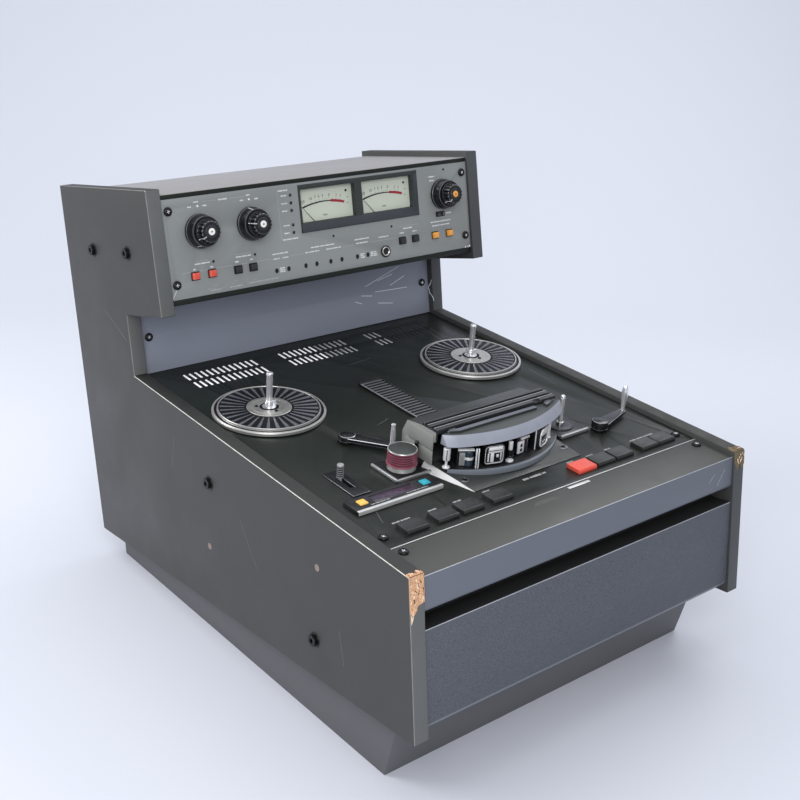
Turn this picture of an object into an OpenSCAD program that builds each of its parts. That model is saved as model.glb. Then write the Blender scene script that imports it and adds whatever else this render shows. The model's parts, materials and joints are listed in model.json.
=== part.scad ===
// Reel-to-reel tape recorder: a sloping tape deck and an electronics overbridge between two stepped
// side panels, tipped back on a wedge plinth. Millimetres, X across, Y to the rear, Z up.
// On the deck, d runs back from the deck's front edge; on the electronics panel, s runs up from the
// overbridge's lower edge. Heights h stand square to those two faces.

/* [Case] */
// Inside width between the side panels
inner_w = 483; // [478:1:500]
// Thickness of each side panel
side_t = 19; // [15:1:24]
// Backward tilt of the case on its plinth, in degrees
tilt = 5; // [3:0.5:7]
// Height of the side panels' front edge
front_h = 186; // [176:1:206]
// Level depth of the sloping deck
deck_run = 560; // [545:1:600]
// Rise of the deck from front to rear
deck_rise = 83; // [70:1:95]
// Height of the riser behind the deck
riser_h = 80; // [70:1:100]
// Reach of the overbridge in front of the riser
bridge_reach = 97; // [80:1:110]
// Rise of the overbridge's underside towards the front
bridge_lift = 12; // [8:1:16]
// Height of the overbridge's front edge
face_h = 152; // [150:1:170]
// Backward lean of the overbridge's front edge
face_lean = 12; // [8:1:16]
// Depth of the overbridge's top edge
top_run = 250; // [230:1:280]
// Fall of the overbridge's top edge towards the rear
top_fall = 14; // [8:1:20]
// Forward lean of the rear edge's foot
rear_lean = 14; // [8:1:20]
// Height of the rear foot above the front foot
rear_lift = 7; // [4:0.5:8]

/* [Plinth] */
// Setback of the plinth's front behind the side panels
plinth_setback = 49; // [40:1:60]
// Backward rake of the plinth's front towards the floor
plinth_rake = 30; // [20:1:40]
// Drop from the side panels' front foot to the floor
plinth_drop = 84; // [75:1:95]
// Height that the plinth reaches up between the side panels
plinth_top = 10; // [9:0.5:14]
// Thickness of the plinth's walls
plinth_wall = 18; // [12:1:24]
// Thickness of the plinth's floor
plinth_floor = 12; // [9:1:16]
// Setback of the plinth's rear inside the rear edge
plinth_rear_gap = 24; // [15:1:35]

/* [Panels] */
// Sheet thickness of the folded panels
sheet_t = 2; // [1.5:0.1:3]
// Thickness of the deck plate
deck_t = 3; // [2:0.5:5]
// Thickness of the electronics panel
panel_t = 3; // [2:0.5:4]
// Depth of the deck below the side panels' sloping edge
deck_drop = 6; // [4:0.5:9]
// Setback of the front sheets inside the side panels' front edge
front_set = 2.5; // [1.5:0.5:5]
// Height of the apron's front face
apron_h = 40; // [34:1:46]
// Depth of the apron's flange on top of the deck
apron_flange = 58; // [52:1:59]
// Height of the open slot under the apron
slot_h = 18.5; // [14:0.5:24]
// Depth of the open slot under the apron
slot_depth = 28; // [20:1:36]
// Height of the lip at the front panel's lower edge
lip_h = 6; // [4:0.5:9]
// Setback of the riser panel behind the side panels' step
riser_set = 10; // [6:1:16]
// Height of the overbridge's underside above the side panels' edge
under_s = 11; // [8:0.5:13]
// Depth of the top cover below the side panels' top edge
top_drop = 7.5; // [5:0.5:10]
// Setback of the rear panel inside the side panels' rear edge
rear_set = 12; // [8:1:18]
// Height of the top cover's flange at the rear
rear_flange = 15; // [10:1:25]
// Setback of the electronics panel inside the overbridge's front edge
face_set = 4; // [2:0.5:8]
// Lower edge of the electronics panel
panel_s = 17.5; // [15:0.5:20]
// Height of the electronics panel
panel_h = 121.5; // [119:0.5:124]

/* [Fasteners] */
// Head radius of the side bolts
bolt_head_r = 7; // [5:0.5:9]
// Head height of the side bolts
bolt_head_h = 5; // [3:0.5:7]
// Shank radius of the side bolts
bolt_r = 4; // [3:0.5:5]
// Head radius of the panel screws
screw_head_r = 4.6; // [3.5:0.1:5.5]
// Head height of the panel screws
screw_head_h = 2.2; // [1.5:0.1:3]
// Shank radius of the panel screws
screw_r = 2.4; // [1.5:0.1:3]
// Shank length of the panel screws
screw_l = 7; // [6:0.5:12]

/* [Electronics panel] */
// Radius of the outer knobs
knob_r = 21.5; // [18:0.5:23]
// Height of the outer knobs' top above the panel
knob_h = 17.5; // [15:0.5:20]
// Radius of the inner knobs
inner_knob_r = 16; // [13:0.5:17]
// Height of the inner knobs' top above the panel
inner_knob_h = 29.5; // [26:0.5:33]
// Radius of the inner knobs' shafts
inner_shaft_r = 3; // [2.5:0.1:3.5]
// Radius of the outer knobs' sleeve shafts
sleeve_r = 4.8; // [4.3:0.1:5.5]
// Width of the push buttons
button_w = 11; // [9:0.5:13]
// Height of the push buttons
button_s = 9; // [7:0.5:11]
// Standing height of the push buttons
button_h = 4.5; // [4:0.5:6]
// Width of each meter window
window_w = 86.5; // [80:0.5:88]
// Height of each meter window
window_s = 43.3; // [36:0.1:44]
// Distance between the two meter windows' centres
window_pitch = 98; // [94:1:102]
// Depth of the meter dials behind the panel's face
dial_depth = 8; // [7.5:0.5:12]
// Length of the meter needles
needle_l = 57; // [46:1:60]
// Radius of the headphone plug's hole
jack_r = 3.25; // [3.2:0.05:3.4]
// Depth of the headphone plug's hole
jack_depth = 24; // [20:1:30]

/* [Reels] */
// Distance of each spindle from its side panel
spindle_in = 76; // [73:0.5:82]
// Distance of the spindles behind the deck's front edge
spindle_d = 394; // [385:1:405]
// Radius of the spindles
spindle_r = 3.97; // [3.8:0.01:4.1]
// Height of the spindles above the deck
spindle_h = 54; // [48:1:60]
// Radius of the reel tables
table_r = 70.5; // [64:0.5:72]
// Radius of the reel tables' raised mat
mat_r = 62; // [56:0.5:63]
// Height of the reel tables above the deck
table_h = 8; // [7:0.5:10]
// Radius of the reel tables' hub disc
hub_r = 28; // [24:0.5:32]
// Radius of the reel shafts
reel_shaft_r = 6; // [5:0.5:7]
// Radius of the reel motors
motor_r = 50; // [42:1:54]
// Length of the reel motors
motor_l = 68; // [60:1:80]

/* [Transport] */
// Radius of the counter roller
roller_r = 17.3; // [15:0.1:18]
// Top of the counter roller above the deck
roller_h = 27; // [24:0.5:30]
// Size of the square roller and capstan plates
plate_w = 47; // [44:0.5:49]
// Thickness of the square plates
plate_t = 3; // [2:0.5:3.5]
// Radius of the capstan
capstan_r = 3; // [2.5:0.1:3.4]
// Top of the capstan above the deck
capstan_h = 44; // [40:0.5:48]
// Radius of the pinch roller
pinch_r = 12; // [10:0.5:12]
// Height of the pinch roller
pinch_h = 22; // [18:0.5:23]
// Length of the tension arms between their pivot and their post
arm_l = 57; // [52:0.5:60]
// Radius of the tension arms' hubs
arm_hub_r = 10.5; // [9:0.5:12]
// Radius of the tension arms' posts
post_r = 3.2; // [2.5:0.1:4]
// Top of the left post above the deck
left_post_h = 35; // [30:1:40]
// Top of the right post above the deck
right_post_h = 43; // [38:1:48]
// Width of the transport keys
key_w = 29; // [25:0.5:29.5]
// Depth of the transport keys
key_d = 21; // [18:0.5:23]
// Standing height of the transport keys
key_h = 5; // [4:0.5:7]
// Travel of the cue lever
cue_travel = 22; // [16:0.5:24]
// Radius of the cue lever's grip
cue_r = 4.6; // [3.5:0.1:5.5]
// Top of the cue lever above the deck
cue_h = 19.5; // [16:0.5:24]
// Gap between the tape counter and the side panel
counter_in = 16.5; // [14:0.5:22]
// Distance of the tape counter's right end from the centre line
counter_end = 108; // [104:0.5:112]
// Depth of the tape counter
counter_d = 28; // [24:0.5:30]
// Height of the tape counter
counter_h = 5; // [4.5:0.5:7]
// Width of the ribbed cable duct
duct_w = 37; // [30:1:44]
// Height of the ribbed cable duct
duct_h = 3; // [2.5:0.5:5]

/* [Heads] */
// Half width of the head base at its front
base_half_w = 84; // [78:1:86]
// Height of the head base's platform
platform_h = 9.5; // [8.5:0.5:11]
// Radius of the platform's round front
platform_r = 135; // [128:1:145]
// Top of the head housing above the deck
housing_h = 50; // [46:0.5:54]
// Wall of the head housing
housing_wall = 3; // [2:0.5:4]
// Height of the splicing block
splice_h = 4; // [3:0.5:6]
// Half width of the head visor
visor_half_w = 93; // [86:1:96]
// Wall of the head visor
visor_t = 2.5; // [2:0.1:2.8]
// Radius of the visor's upper front edge
visor_r = 184; // [170:1:195]
// Forward flare of the visor's lower edge
visor_flare = 9.5; // [6:0.5:12]
// Depth of the visor's face
visor_drop = 15; // [12:0.5:16]

/* [Hidden] */
$fn = 64;
// Radial play of a shaft in its bore
run_gap = 0.05;
// Play of a sliding piece in its hole
slide_gap = 0.35;
// Play between faces that pass each other
face_gap = 0.3;
// Overlap that lets a cut pass clear through
cut = 1;

// Side view of the case, as [y, z] from the side panels' front foot
A = [0, 0];
B = A + [0, front_h];
C = B + [deck_run, deck_rise];
D = C + [3.4, riser_h];
E = D + [-bridge_reach, bridge_lift];
F = E + [face_lean, face_h];
G = F + [top_run, -top_fall];
H = [G.x - rear_lean, rear_lift];
half_w = inner_w / 2;
spindle_x = half_w - spindle_in;

function unit(v) = v / norm(v);
function left_of(v) = [-v.y, v.x];
// Point where the line through p along u meets the line through q along v
function meet(p, u, q, v) = p + u * ((q - p) * left_of(v)) / (u * left_of(v));
// Inner corner of a folded sheet of thickness t, whose outer face follows the points p
function fold_normal(p, i) = left_of(unit(p[i + 1] - p[i]));
function fold_corner(p, i, t) =
    i == 0 ? p[0] + t * fold_normal(p, 0)
    : i == len(p) - 1 ? p[i] + t * fold_normal(p, i - 1)
    : let (a = fold_normal(p, i - 1), b = fold_normal(p, i)) p[i] + t * (a + b) / (1 + a * b);
function fold(p, t) = concat(p, [for (i = [len(p) - 1:-1:0]) fold_corner(p, i, t)]);

// Deck and electronics panel seen from the side
deck_u = unit(C - B);
deck_ang = atan2(deck_u.y, deck_u.x);
deck_len = norm(C - B);
function deck_pt(d, h) = B + d * deck_u + (h - deck_drop) * left_of(deck_u);
face_u = unit(F - E);
face_ang = atan2(face_u.x, face_u.y);
function face_pt(s, h) = E + s * face_u + (h - face_set) * left_of(face_u);
rear_u = unit(G - H);
rear_ang = atan2(rear_u.x, rear_u.y);
rear_foot = meet(H - [rear_set, 0], rear_u, [0, plinth_top], [1, 0]);

// Plinth and the way the case stands on the floor
floor_u = [cos(tilt), sin(tilt)];
rake_u = unit([plinth_rake, -plinth_drop]);
plinth_toe = [plinth_setback + plinth_rake, -plinth_drop];
plinth_heel = meet(plinth_toe, floor_u, [H.x - plinth_rear_gap, 0], [0, 1]);
stand_y = -(G.x * cos(tilt) + G.y * sin(tilt)) / 2;
stand_z = plinth_toe.x * sin(tilt) - plinth_toe.y * cos(tilt);

module standing() translate([0, stand_y, stand_z]) rotate([-tilt, 0, 0]) children();
module on_deck(x = 0, d = 0, h = 0)
    standing() translate([0, B.x, B.y]) rotate([deck_ang, 0, 0])
        translate([x, d, h - deck_drop]) children();
module on_face(x = 0, s = 0, h = 0)
    standing() translate([0, E.x, E.y]) rotate([90 - face_ang, 0, 0])
        translate([x, s, h - face_set]) children();
// The rear panel's frame has x to the left, seen from the front, and h to the rear
module on_rear(x = 0, s = 0, h = 0)
    standing() translate([0, rear_foot.x, rear_foot.y]) rotate([90 + rear_ang, 0, 180])
        translate([x, s, h]) children();
// A side view outline drawn out to a width across the case
module across(w) rotate([90, 0, 90]) linear_extrude(w, center = true) children();
module slab(w, d, h) translate([-w / 2, -d / 2, 0]) cube([w, d, h]);
// A bar between two heights
module rod(r, low, high) translate([0, 0, low]) cylinder(r = r, h = high - low);

// Bolt and screw places
side_bolts = [[171, 50], [383, front_h - 13], F + [64, -82], G + [-86, -76]];
edge_in = 12.5;
deck_screws = [for (x = [-1, 1], d = [47, 80]) [x * (half_w - edge_in), d]];
panel_screw_pitch = 89;
panel_screws = [for (x = [-1, 1], s = [-0.5, 0.5])
    [x * (half_w - 9), panel_s + panel_h / 2 + 1.8 + s * panel_screw_pitch]];
riser_screw_s = 48;

// Electronics panel layout
knob_places = [[-half_w + 49, 96.5], [-119.5, 96.5], [half_w - 47, 98.5]];
red_buttons = [for (x = [35.5, 59]) [-half_w + x, 43]];
black_buttons = concat([for (x = [96, 118]) [-half_w + x, 42]], [for (x = [124, 101]) [half_w - x, 43]]);
orange_buttons = [for (x = [65, 39]) [half_w - x, 42.7]];
all_buttons = concat(red_buttons, black_buttons, orange_buttons);
button_travel = 3;
jack_place = [half_w - 154.5, 32.4];
jack_barrel_r = 6;
switch_place = [half_w - 53, 71];
switch_travel = 4;
switch_w = 6;
switch_s = 4.6;
meter_x = 50;
window_low = 86.5;
window_x = [meter_x - window_pitch / 2, meter_x + window_pitch / 2];
bezel_x = [window_x[0] - window_w / 2 - 2.75, window_x[1] + window_w / 2 + 8.75];
bezel_w = bezel_x[1] - bezel_x[0];
bezel_low = window_low - 12;
bezel_high = window_low + window_s + 5.7;
bezel_proud = 0.5;
needle_pivot_s = window_low - 25.5;
needle_rest = 41.5;
needle_aside = 2;
needle_w = 0.9;
pivot_r = 1;

// Deck layout
capstan_place = [118, 172];
roller_place = [-119.5, 189];
capstan_plate_place = [118.5, 172.5];
left_pivot = [-130.5, 279];
left_arm_rest = -58;
right_pivot = [157, 141.5];
right_arm_rest = 13;
pinch_pivot = [132, 212];
pinch_place = [100, 190];
cue_place = [-193, 206];
cue_plate = [23, 60];
cue_plate_d = 194.5;
cue_stem_r = 2.5;
counter_w = half_w - counter_in - counter_end;
counter_place = [-counter_end - counter_w / 2, 142];
counter_button_w = 10;
counter_buttons = [[counter_in + 16 - half_w, 143.5], [-counter_end - 15, 143.5]];
counter_window_w = counter_w - 59;
key_d_place = 80;
key_places = concat([for (x = [51, 93, 128, 171]) x - half_w],
    [for (x = [179.5, 147.5, 115.5, 70, 39.5]) half_w - x]);
key_travel = 3;
key_depth = 6;
pin_r = 4;
pin_depth = 9;
vent_rows = [deck_len - 63, deck_len - 35.5];
vent_groups = [-147, 0, 147];
vent_l = 20.5;
vent_w = 3.8;
vent_pitch = 8.5;
vent_count = 13;

// Head layout
base_front_d = 103;
base_flat_d = 180;
base_rear_h = 8;
base_front_h = 1;
base_screws = [for (x = [-1, 1]) [x * (base_half_w - 6), base_front_d + 24]];
base_screw_r = 2.9;
base_pocket_h = 0.5;
housing_left = -base_half_w - 10;
housing_right = base_half_w;
housing_front_d = 163;
housing_rear_d = 222;
base_rear_d = housing_rear_d + 2;
platform_d = 116;
platform_c = platform_d + platform_r;
visor_front_d = 134;
visor_c = visor_front_d + visor_r;
visor_rear_d = 160;
roof_d = visor_rear_d + 28;
visor_low = housing_h + 2 - visor_drop;
hinge_d = visor_rear_d - 1.5;
hinge_h = housing_h + 0.5;
hinge_pin_r = 1;
hinge_eye_r = 1.9;
hinge_x = 75;
hinge_w = 10;
head_arc_r = platform_r - 10;
head_x = [-65, -28, 9, 50];
guide_x = [-80, -47, -10, 30, 68, 82];

// Case

module side_panel(side) {
    color("#4d4e50") standing() difference() {
        translate([side * (half_w + side_t / 2), 0, 0]) across(side_t) polygon([A, B, C, D, E, F, G, H]);
        for (p = side_bolts)
            translate([side * half_w, p.x, p.y]) rotate([0, side * 90, 0])
                rod(bolt_r + slide_gap, -cut, side_t + cut);
    }
}
module left_side_panel() side_panel(-1);
module right_side_panel() side_panel(1);

module plinth() {
    top_u = [1, 0];
    inside = plinth_toe + [plinth_wall, 0];
    floor_in = plinth_toe + [0, plinth_floor];
    back = [plinth_heel.x - plinth_wall, 0];
    outer = [meet(plinth_toe, rake_u, [0, plinth_top], top_u), plinth_toe, plinth_heel,
        [plinth_heel.x, plinth_top]];
    hollow = [meet(inside, rake_u, [0, plinth_top + cut], top_u), meet(inside, rake_u, floor_in, floor_u),
        meet(floor_in, floor_u, back, [0, 1]), [back.x, plinth_top + cut]];
    color("#57585a") standing() difference() {
        across(inner_w) polygon(outer);
        across(inner_w - 2 * plinth_wall) polygon(hollow);
    }
}

apron_edge = meet(deck_pt(0, 0), deck_u, [front_set, 0], [0, 1]);
apron_low = apron_edge.y - apron_h;
slot_low = apron_low - slot_h;
slot_back = front_set + slot_depth;

module front_panel() {
    path = [[slot_back, apron_low], [slot_back, slot_low], [front_set, slot_low],
        [front_set, plinth_top + lip_h], [front_set + 4, plinth_top], [plinth_setback + 20, plinth_top]];
    color("#54575e") standing() across(inner_w) polygon(fold(path, sheet_t));
}

module front_apron() {
    path = [deck_pt(apron_flange, 0), apron_edge, [front_set, apron_low],
        [slot_back + sheet_t, apron_low]];
    color("#666a76") difference() {
        standing() across(inner_w) polygon(fold(path, sheet_t));
        for (p = deck_screws) if (p.y < apron_flange) screw_hole(p);
    }
}

module screw_hole(p) on_deck(p.x, p.y) rod(screw_r + slide_gap, -deck_t - cut, cut);

// Deck plate with every hole that the transport needs
module deck_plate() {
    front = apron_flange + face_gap;
    rear = deck_len + riser_set + 4;
    color("#393b3a") difference() {
        on_deck(-half_w, front, -deck_t) cube([inner_w, rear - front, deck_t]);
        for (x = [-1, 1]) on_deck(x * spindle_x, spindle_d) rod(reel_shaft_r + 6, -deck_t - cut, cut);
        on_deck(capstan_place.x, capstan_place.y) rod(capstan_r + 5, -deck_t - cut, cut);
        on_deck(roller_place.x, roller_place.y) rod(capstan_r + 3, -deck_t - cut, cut);
        for (p = [left_pivot, right_pivot, pinch_pivot])
            on_deck(p.x, p.y) rod(pin_r + run_gap, -deck_t - cut, cut);
        for (x = key_places) on_deck(x, key_d_place, -deck_t - cut)
            slab(key_w + 2 * slide_gap, key_d + 2 * slide_gap, deck_t + 2 * cut);
        cue_slot(-deck_t - cut, cut);
        for (p = deck_screws) if (p.y > apron_flange) screw_hole(p);
        for (x = vent_groups, d = vent_rows, i = [0:vent_count - 1])
            on_deck(x + (i - (vent_count - 1) / 2) * vent_pitch - vent_w / 2, d, -deck_t - cut)
                cube([vent_w, vent_l, deck_t + 2 * cut]);
    }
}

// Straight slot that the cue lever's stem slides in
module cue_slot(low, high) {
    play = cue_stem_r + slide_gap;
    on_deck(cue_place.x - play, cue_place.y - cue_travel - play, low)
        cube([2 * play, cue_travel + 2 * play, high - low]);
}

under_front = face_pt(under_s, -1.5);
riser_top = meet(under_front, E - D, C + [riser_set, 0], D - C);
riser_foot = meet(deck_pt(0, 0.45), deck_u, C + [riser_set, 0], D - C);

module riser_panel() {
    path = [face_pt(panel_s - face_gap, -1.5), under_front, riser_top, riser_foot];
    color("#666a75") difference() {
        standing() across(inner_w) polygon(fold(path, sheet_t));
        for (x = [-1, 1]) at_riser(x) rod(screw_r + slide_gap, -sheet_t - cut, cut);
    }
}
// Frame of a riser screw, pointing out of the riser's face
module at_riser(side) {
    lean = atan2(riser_top.x - riser_foot.x, riser_top.y - riser_foot.y);
    standing() translate([side * (half_w - edge_in), riser_foot.x, riser_foot.y])
        rotate([90 - lean, 0, 0]) translate([0, riser_screw_s, 0]) children();
}

cover_p = F - [0, top_drop];
cover_front = meet(cover_p, G - F, face_pt(0, 0), face_u);
cover_rear = meet(cover_p, G - F, rear_foot, rear_u);

module top_cover() {
    path = [cover_rear - rear_flange * rear_u, cover_rear, cover_front,
        face_pt(panel_s + panel_h + face_gap, 0)];
    color("#b4b2b1") standing() across(inner_w) polygon(fold(path, sheet_t));
}

// Rear socket places, x to the left as seen from the front
audio_sockets = [for (x = [-45, -15, 15, 45]) [x * 1.5, 105]];
inlet_place = [-165, 95];
fuse_place = [-165, 140];
socket_r = 10;
rear_foot_turn = 60;
inlet_size = [28, 20];
inlet_mouth = [24, 16];

module rear_panel() {
    path = [rear_foot - [rear_foot_turn, 0], rear_foot, cover_rear - (rear_flange + face_gap) * rear_u];
    color("#3c3d3f") difference() {
        standing() across(inner_w) polygon(fold(path, sheet_t));
        for (p = audio_sockets) on_rear(p.x, p.y) rod(socket_r + slide_gap, -sheet_t - cut, cut);
        on_rear(fuse_place.x, fuse_place.y) rod(5 + slide_gap, -sheet_t - cut, cut);
        on_rear(inlet_place.x, inlet_place.y, -sheet_t - cut)
            slab(inlet_size.x + 2 * slide_gap, inlet_size.y + 2 * slide_gap, sheet_t + 2 * cut);
    }
}

// Audio sockets, mains inlet and fuse at the rear, headphone socket in front
module sockets() {
    color("#232427") {
        for (p = audio_sockets) on_rear(p.x, p.y) difference() {
            union() {
                slab(26, 31, 2);
                rod(11, 2, 5);
                rod(socket_r, -20, 0);
            }
            for (a = [90, 210, 330]) rotate(a) translate([5, 0, 0]) rod(1.6, -8, 5 + cut);
        }
        on_rear(inlet_place.x, inlet_place.y) difference() {
            union() {
                slab(50, 28, 2.5);
                translate([0, 0, -22]) slab(inlet_size.x, inlet_size.y, 22);
            }
            translate([0, 0, -14]) slab(inlet_mouth.x, inlet_mouth.y, 14 + 2.5 + cut);
        }
        on_rear(fuse_place.x, fuse_place.y) {
            rod(8, 0, 7);
            rod(5, -25, 0);
        }
        on_face(jack_place.x, jack_place.y) difference() {
            union() {
                rod(jack_barrel_r + 2, 0, 2);
                rod(jack_barrel_r, -jack_depth - 4, 0);
            }
            rod(jack_r, 2 - jack_depth, 2 + cut);
        }
    }
}

module electronics_panel() {
    hole_play = 2 * slide_gap;
    color("#6f7474") on_face() difference() {
        translate([-half_w, panel_s, -panel_t]) cube([inner_w, panel_h, panel_t]);
        translate([bezel_x[0] - slide_gap, bezel_low - slide_gap, -panel_t - cut])
            cube([bezel_w + hole_play, bezel_high - bezel_low + hole_play, panel_t + 2 * cut]);
        for (p = knob_places) translate(p) rod(sleeve_r + run_gap, -panel_t - cut, cut);
        for (p = all_buttons) translate([p.x, p.y, -panel_t - cut])
            slab(button_w + hole_play, button_s + hole_play, panel_t + 2 * cut);
        translate(jack_place) rod(jack_barrel_r + slide_gap, -panel_t - cut, cut);
        translate([switch_place.x, switch_place.y, -panel_t - cut])
            slab(switch_w + 2 * switch_travel + hole_play, switch_s + hole_play, panel_t + 2 * cut);
        for (p = panel_screws) translate(p) rod(screw_r + slide_gap, -panel_t - cut, cut);
    }
}

// Amplifier board on standoffs behind the rear panel, and the mains transformer on the plinth's floor
module power_and_audio_boards() {
    standoff = 14;
    board = [400, 170, 1.6];
    board_s = 300;
    post_x = board.x / 2 - 20;
    post_s = board.y / 2 - 15;
    sunk = 0.5;
    color("#2f5a3c") {
        on_rear(0, board_s, -sheet_t - standoff - board.z) slab(board.x, board.y, board.z);
        for (x = [-post_x, post_x], s = [-post_s, post_s])
            on_rear(x, board_s + s) rod(4, -sheet_t - standoff - sunk, -sheet_t);
        for (i = [-3:3]) on_rear(i * 50, board_s - 30, -sheet_t - standoff - board.z - 20)
            slab(18, 60, 20 + sunk);
    }
    color("#8a6a3a") translate([120, 90, plinth_floor]) {
        slab(120, 100, 4);
        translate([0, 0, 4]) slab(100, 60, 80);
        translate([0, 0, 22]) slab(76, 92, 44);
    }
}

// Screw with its head on z = 0 and its shank below
module screw(head_r, head_h, shank_r, shank_l) {
    rod(head_r, 0, head_h);
    rod(shank_r, -shank_l, 0);
}
module panel_screw() screw(screw_head_r, screw_head_h, screw_r, screw_l);

module fasteners() {
    color("#1d1e20") {
        for (side = [-1, 1], p = side_bolts)
            standing() translate([side * (half_w + side_t), p.x, p.y]) rotate([0, side * 90, 0])
                screw(bolt_head_r, bolt_head_h, bolt_r, side_t);
        for (p = deck_screws) on_deck(p.x, p.y) panel_screw();
        for (p = panel_screws) on_face(p.x, p.y) panel_screw();
        for (x = [-1, 1]) at_riser(x) panel_screw();
        for (p = base_screws) on_deck(p.x, p.y) rod(base_screw_r, base_pocket_h, base_pocket_h + 2.6);
    }
}

// Meters

module meter_bezel() {
    low = needle_pivot_s - 6;
    back = dial_depth + 5;
    color("#3b423f") on_face() difference() {
        union() {
            translate([bezel_x[0], bezel_low, -panel_t])
                cube([bezel_w, bezel_high - bezel_low, panel_t + bezel_proud]);
            translate([bezel_x[0], low, -back]) cube([bezel_w, bezel_high - low, back - panel_t]);
        }
        for (x = window_x) {
            translate([x - window_w / 2, window_low, -dial_depth])
                cube([window_w, window_s, dial_depth + bezel_proud + cut]);
            translate([x - window_w / 2, low + 2, -dial_depth])
                cube([window_w, window_low - low, dial_depth - panel_t - 1]);
            translate([x + needle_aside, needle_pivot_s]) rod(pivot_r + run_gap, -back - cut, 0);
        }
    }
}

// Needle resting at the left end of its dial, on a pivot pin in the meter's back
module meter_needle(i) {
    color("#202020") on_face(window_x[i] + needle_aside, needle_pivot_s) rotate(needle_rest) {
        translate([-needle_w / 2, 0, -dial_depth + 2]) cube([needle_w, needle_l, 0.8]);
        rod(2.5, -dial_depth + 1.5, -dial_depth + 3.5);
        rod(pivot_r, -dial_depth - 4, -dial_depth + 1.5);
    }
}
module left_meter_needle() meter_needle(0);
module right_meter_needle() meter_needle(1);

// Knobs, buttons and switch

sleeve_depth = 12;
knob_skirt_h = 5;
knob_rim_r = knob_r - 3;
module outer_knob(i) {
    p = knob_places[i];
    color("#222326") on_face(p.x, p.y) difference() {
        union() {
            rod(knob_r, 0.8, knob_skirt_h);
            translate([0, 0, knob_skirt_h])
                cylinder(r1 = knob_r - 1, r2 = knob_rim_r, h = knob_h - knob_skirt_h);
            rod(sleeve_r, -sleeve_depth, 0.8);
        }
        rod(inner_shaft_r + run_gap, -sleeve_depth - cut, knob_h + cut);
    }
}
module inner_knob(i) {
    p = knob_places[i];
    flutes = 16;
    grip_r = inner_knob_r - 2.8;
    color("#2b2c30") on_face(p.x, p.y) {
        difference() {
            union() {
                rod(inner_knob_r, knob_h + face_gap, knob_h + 2.5);
                rod(grip_r, knob_h + 2.5, inner_knob_h);
            }
            for (a = [1:flutes]) rotate(a * 360 / flutes) translate([grip_r + 0.6, 0, 0])
                rod(1.6, knob_h + 3, inner_knob_h + cut);
        }
        rod(inner_shaft_r, -sleeve_depth - 4, knob_h + face_gap);
    }
}
module first_input_outer_knob() outer_knob(0);
module first_input_inner_knob() inner_knob(0);
module second_input_outer_knob() outer_knob(1);
module second_input_inner_knob() inner_knob(1);
module output_outer_knob() outer_knob(2);
module output_inner_knob() inner_knob(2);

// Push button with a collar behind the panel that stops it from coming out
module push_button(p, colour) {
    color(colour) on_face(p.x, p.y) {
        translate([0, 0, -panel_t - face_gap]) slab(button_w, button_s, button_h + panel_t + face_gap);
        translate([0, 0, -panel_t - face_gap - 2]) slab(button_w + 3, button_s + 3, 2);
    }
}
module red_button_left() push_button(red_buttons[0], "#d2402f");
module red_button_right() push_button(red_buttons[1], "#d2402f");
module input_button_left() push_button(black_buttons[0], "#2a2b2e");
module input_button_right() push_button(black_buttons[1], "#2a2b2e");
module monitor_button_left() push_button(black_buttons[2], "#2a2b2e");
module monitor_button_right() push_button(black_buttons[3], "#2a2b2e");
module orange_button_left() push_button(orange_buttons[0], "#e09a3a");
module orange_button_right() push_button(orange_buttons[1], "#e09a3a");

// Slider resting at the left end of its slot
module panel_slide_switch() {
    color("#1f2023") on_face(switch_place.x - switch_travel, switch_place.y) {
        translate([0, 0, -panel_t - face_gap]) slab(switch_w, switch_s, 3.5 + panel_t + face_gap);
        translate([0, 0, -panel_t - face_gap - 1.5]) slab(switch_w + 3, switch_s + 5, 1.5);
    }
}

// Reels

module reel_table(side) {
    rim_low = 1.2;
    wing_h = 9;
    boss_r = spindle_r + 1.2;
    shaft_low = -deck_t - motor_l + 10;
    outline = [
        [0, shaft_low], [reel_shaft_r, shaft_low], [reel_shaft_r, rim_low], [table_r, rim_low],
        [table_r, table_h - 2.5], [table_r - 1.5, table_h - 2], [mat_r + 1.8, table_h - 2],
        [mat_r + 1.8, table_h + 0.5], [mat_r, table_h + 0.5],
        [mat_r, table_h], [hub_r, table_h], [hub_r, table_h + 0.8], [boss_r, table_h + 0.8],
        [boss_r, table_h + wing_h], [spindle_r, table_h + wing_h],
        [spindle_r, spindle_h - 4], [spindle_r - 1.6, spindle_h], [0, spindle_h]
    ];
    color("#c4c4c6") on_deck(side * spindle_x, spindle_d) {
        rotate_extrude() polygon(outline);
        for (a = [90, 210, 330]) rotate(a) translate([0, -1, table_h + 0.4])
            cube([boss_r + 3.5, 2, wing_h - 0.4]);
    }
}
module left_reel_table() reel_table(-1);
module right_reel_table() reel_table(1);

// Reel motors and the capstan motor, hung under the deck
module transport_motors() {
    flange_t = 4;
    leg_r = 46;
    leg_l = 40;
    capstan_motor_r = 36;
    capstan_motor_l = 50;
    color("#4a4b4e") {
        for (x = [-1, 1]) on_deck(x * spindle_x, spindle_d, -deck_t) difference() {
            union() {
                rod(motor_r + 5, -flange_t, 0);
                rod(motor_r, -motor_l, -flange_t);
            }
            rod(reel_shaft_r + run_gap, -motor_l - cut, cut);
        }
        on_deck(capstan_place.x, capstan_place.y, -deck_t) {
            for (a = [30, 150, 270]) rotate(a) translate([leg_r, 0, 0]) rod(5, -leg_l, 0);
            difference() {
                union() {
                    rod(leg_r + 6, -leg_l - flange_t, -leg_l);
                    rod(capstan_motor_r, -leg_l - capstan_motor_l, -leg_l - flange_t);
                }
                rod(capstan_r + run_gap, -leg_l - capstan_motor_l - cut, -leg_l + cut);
            }
        }
    }
}

// Transport

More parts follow.
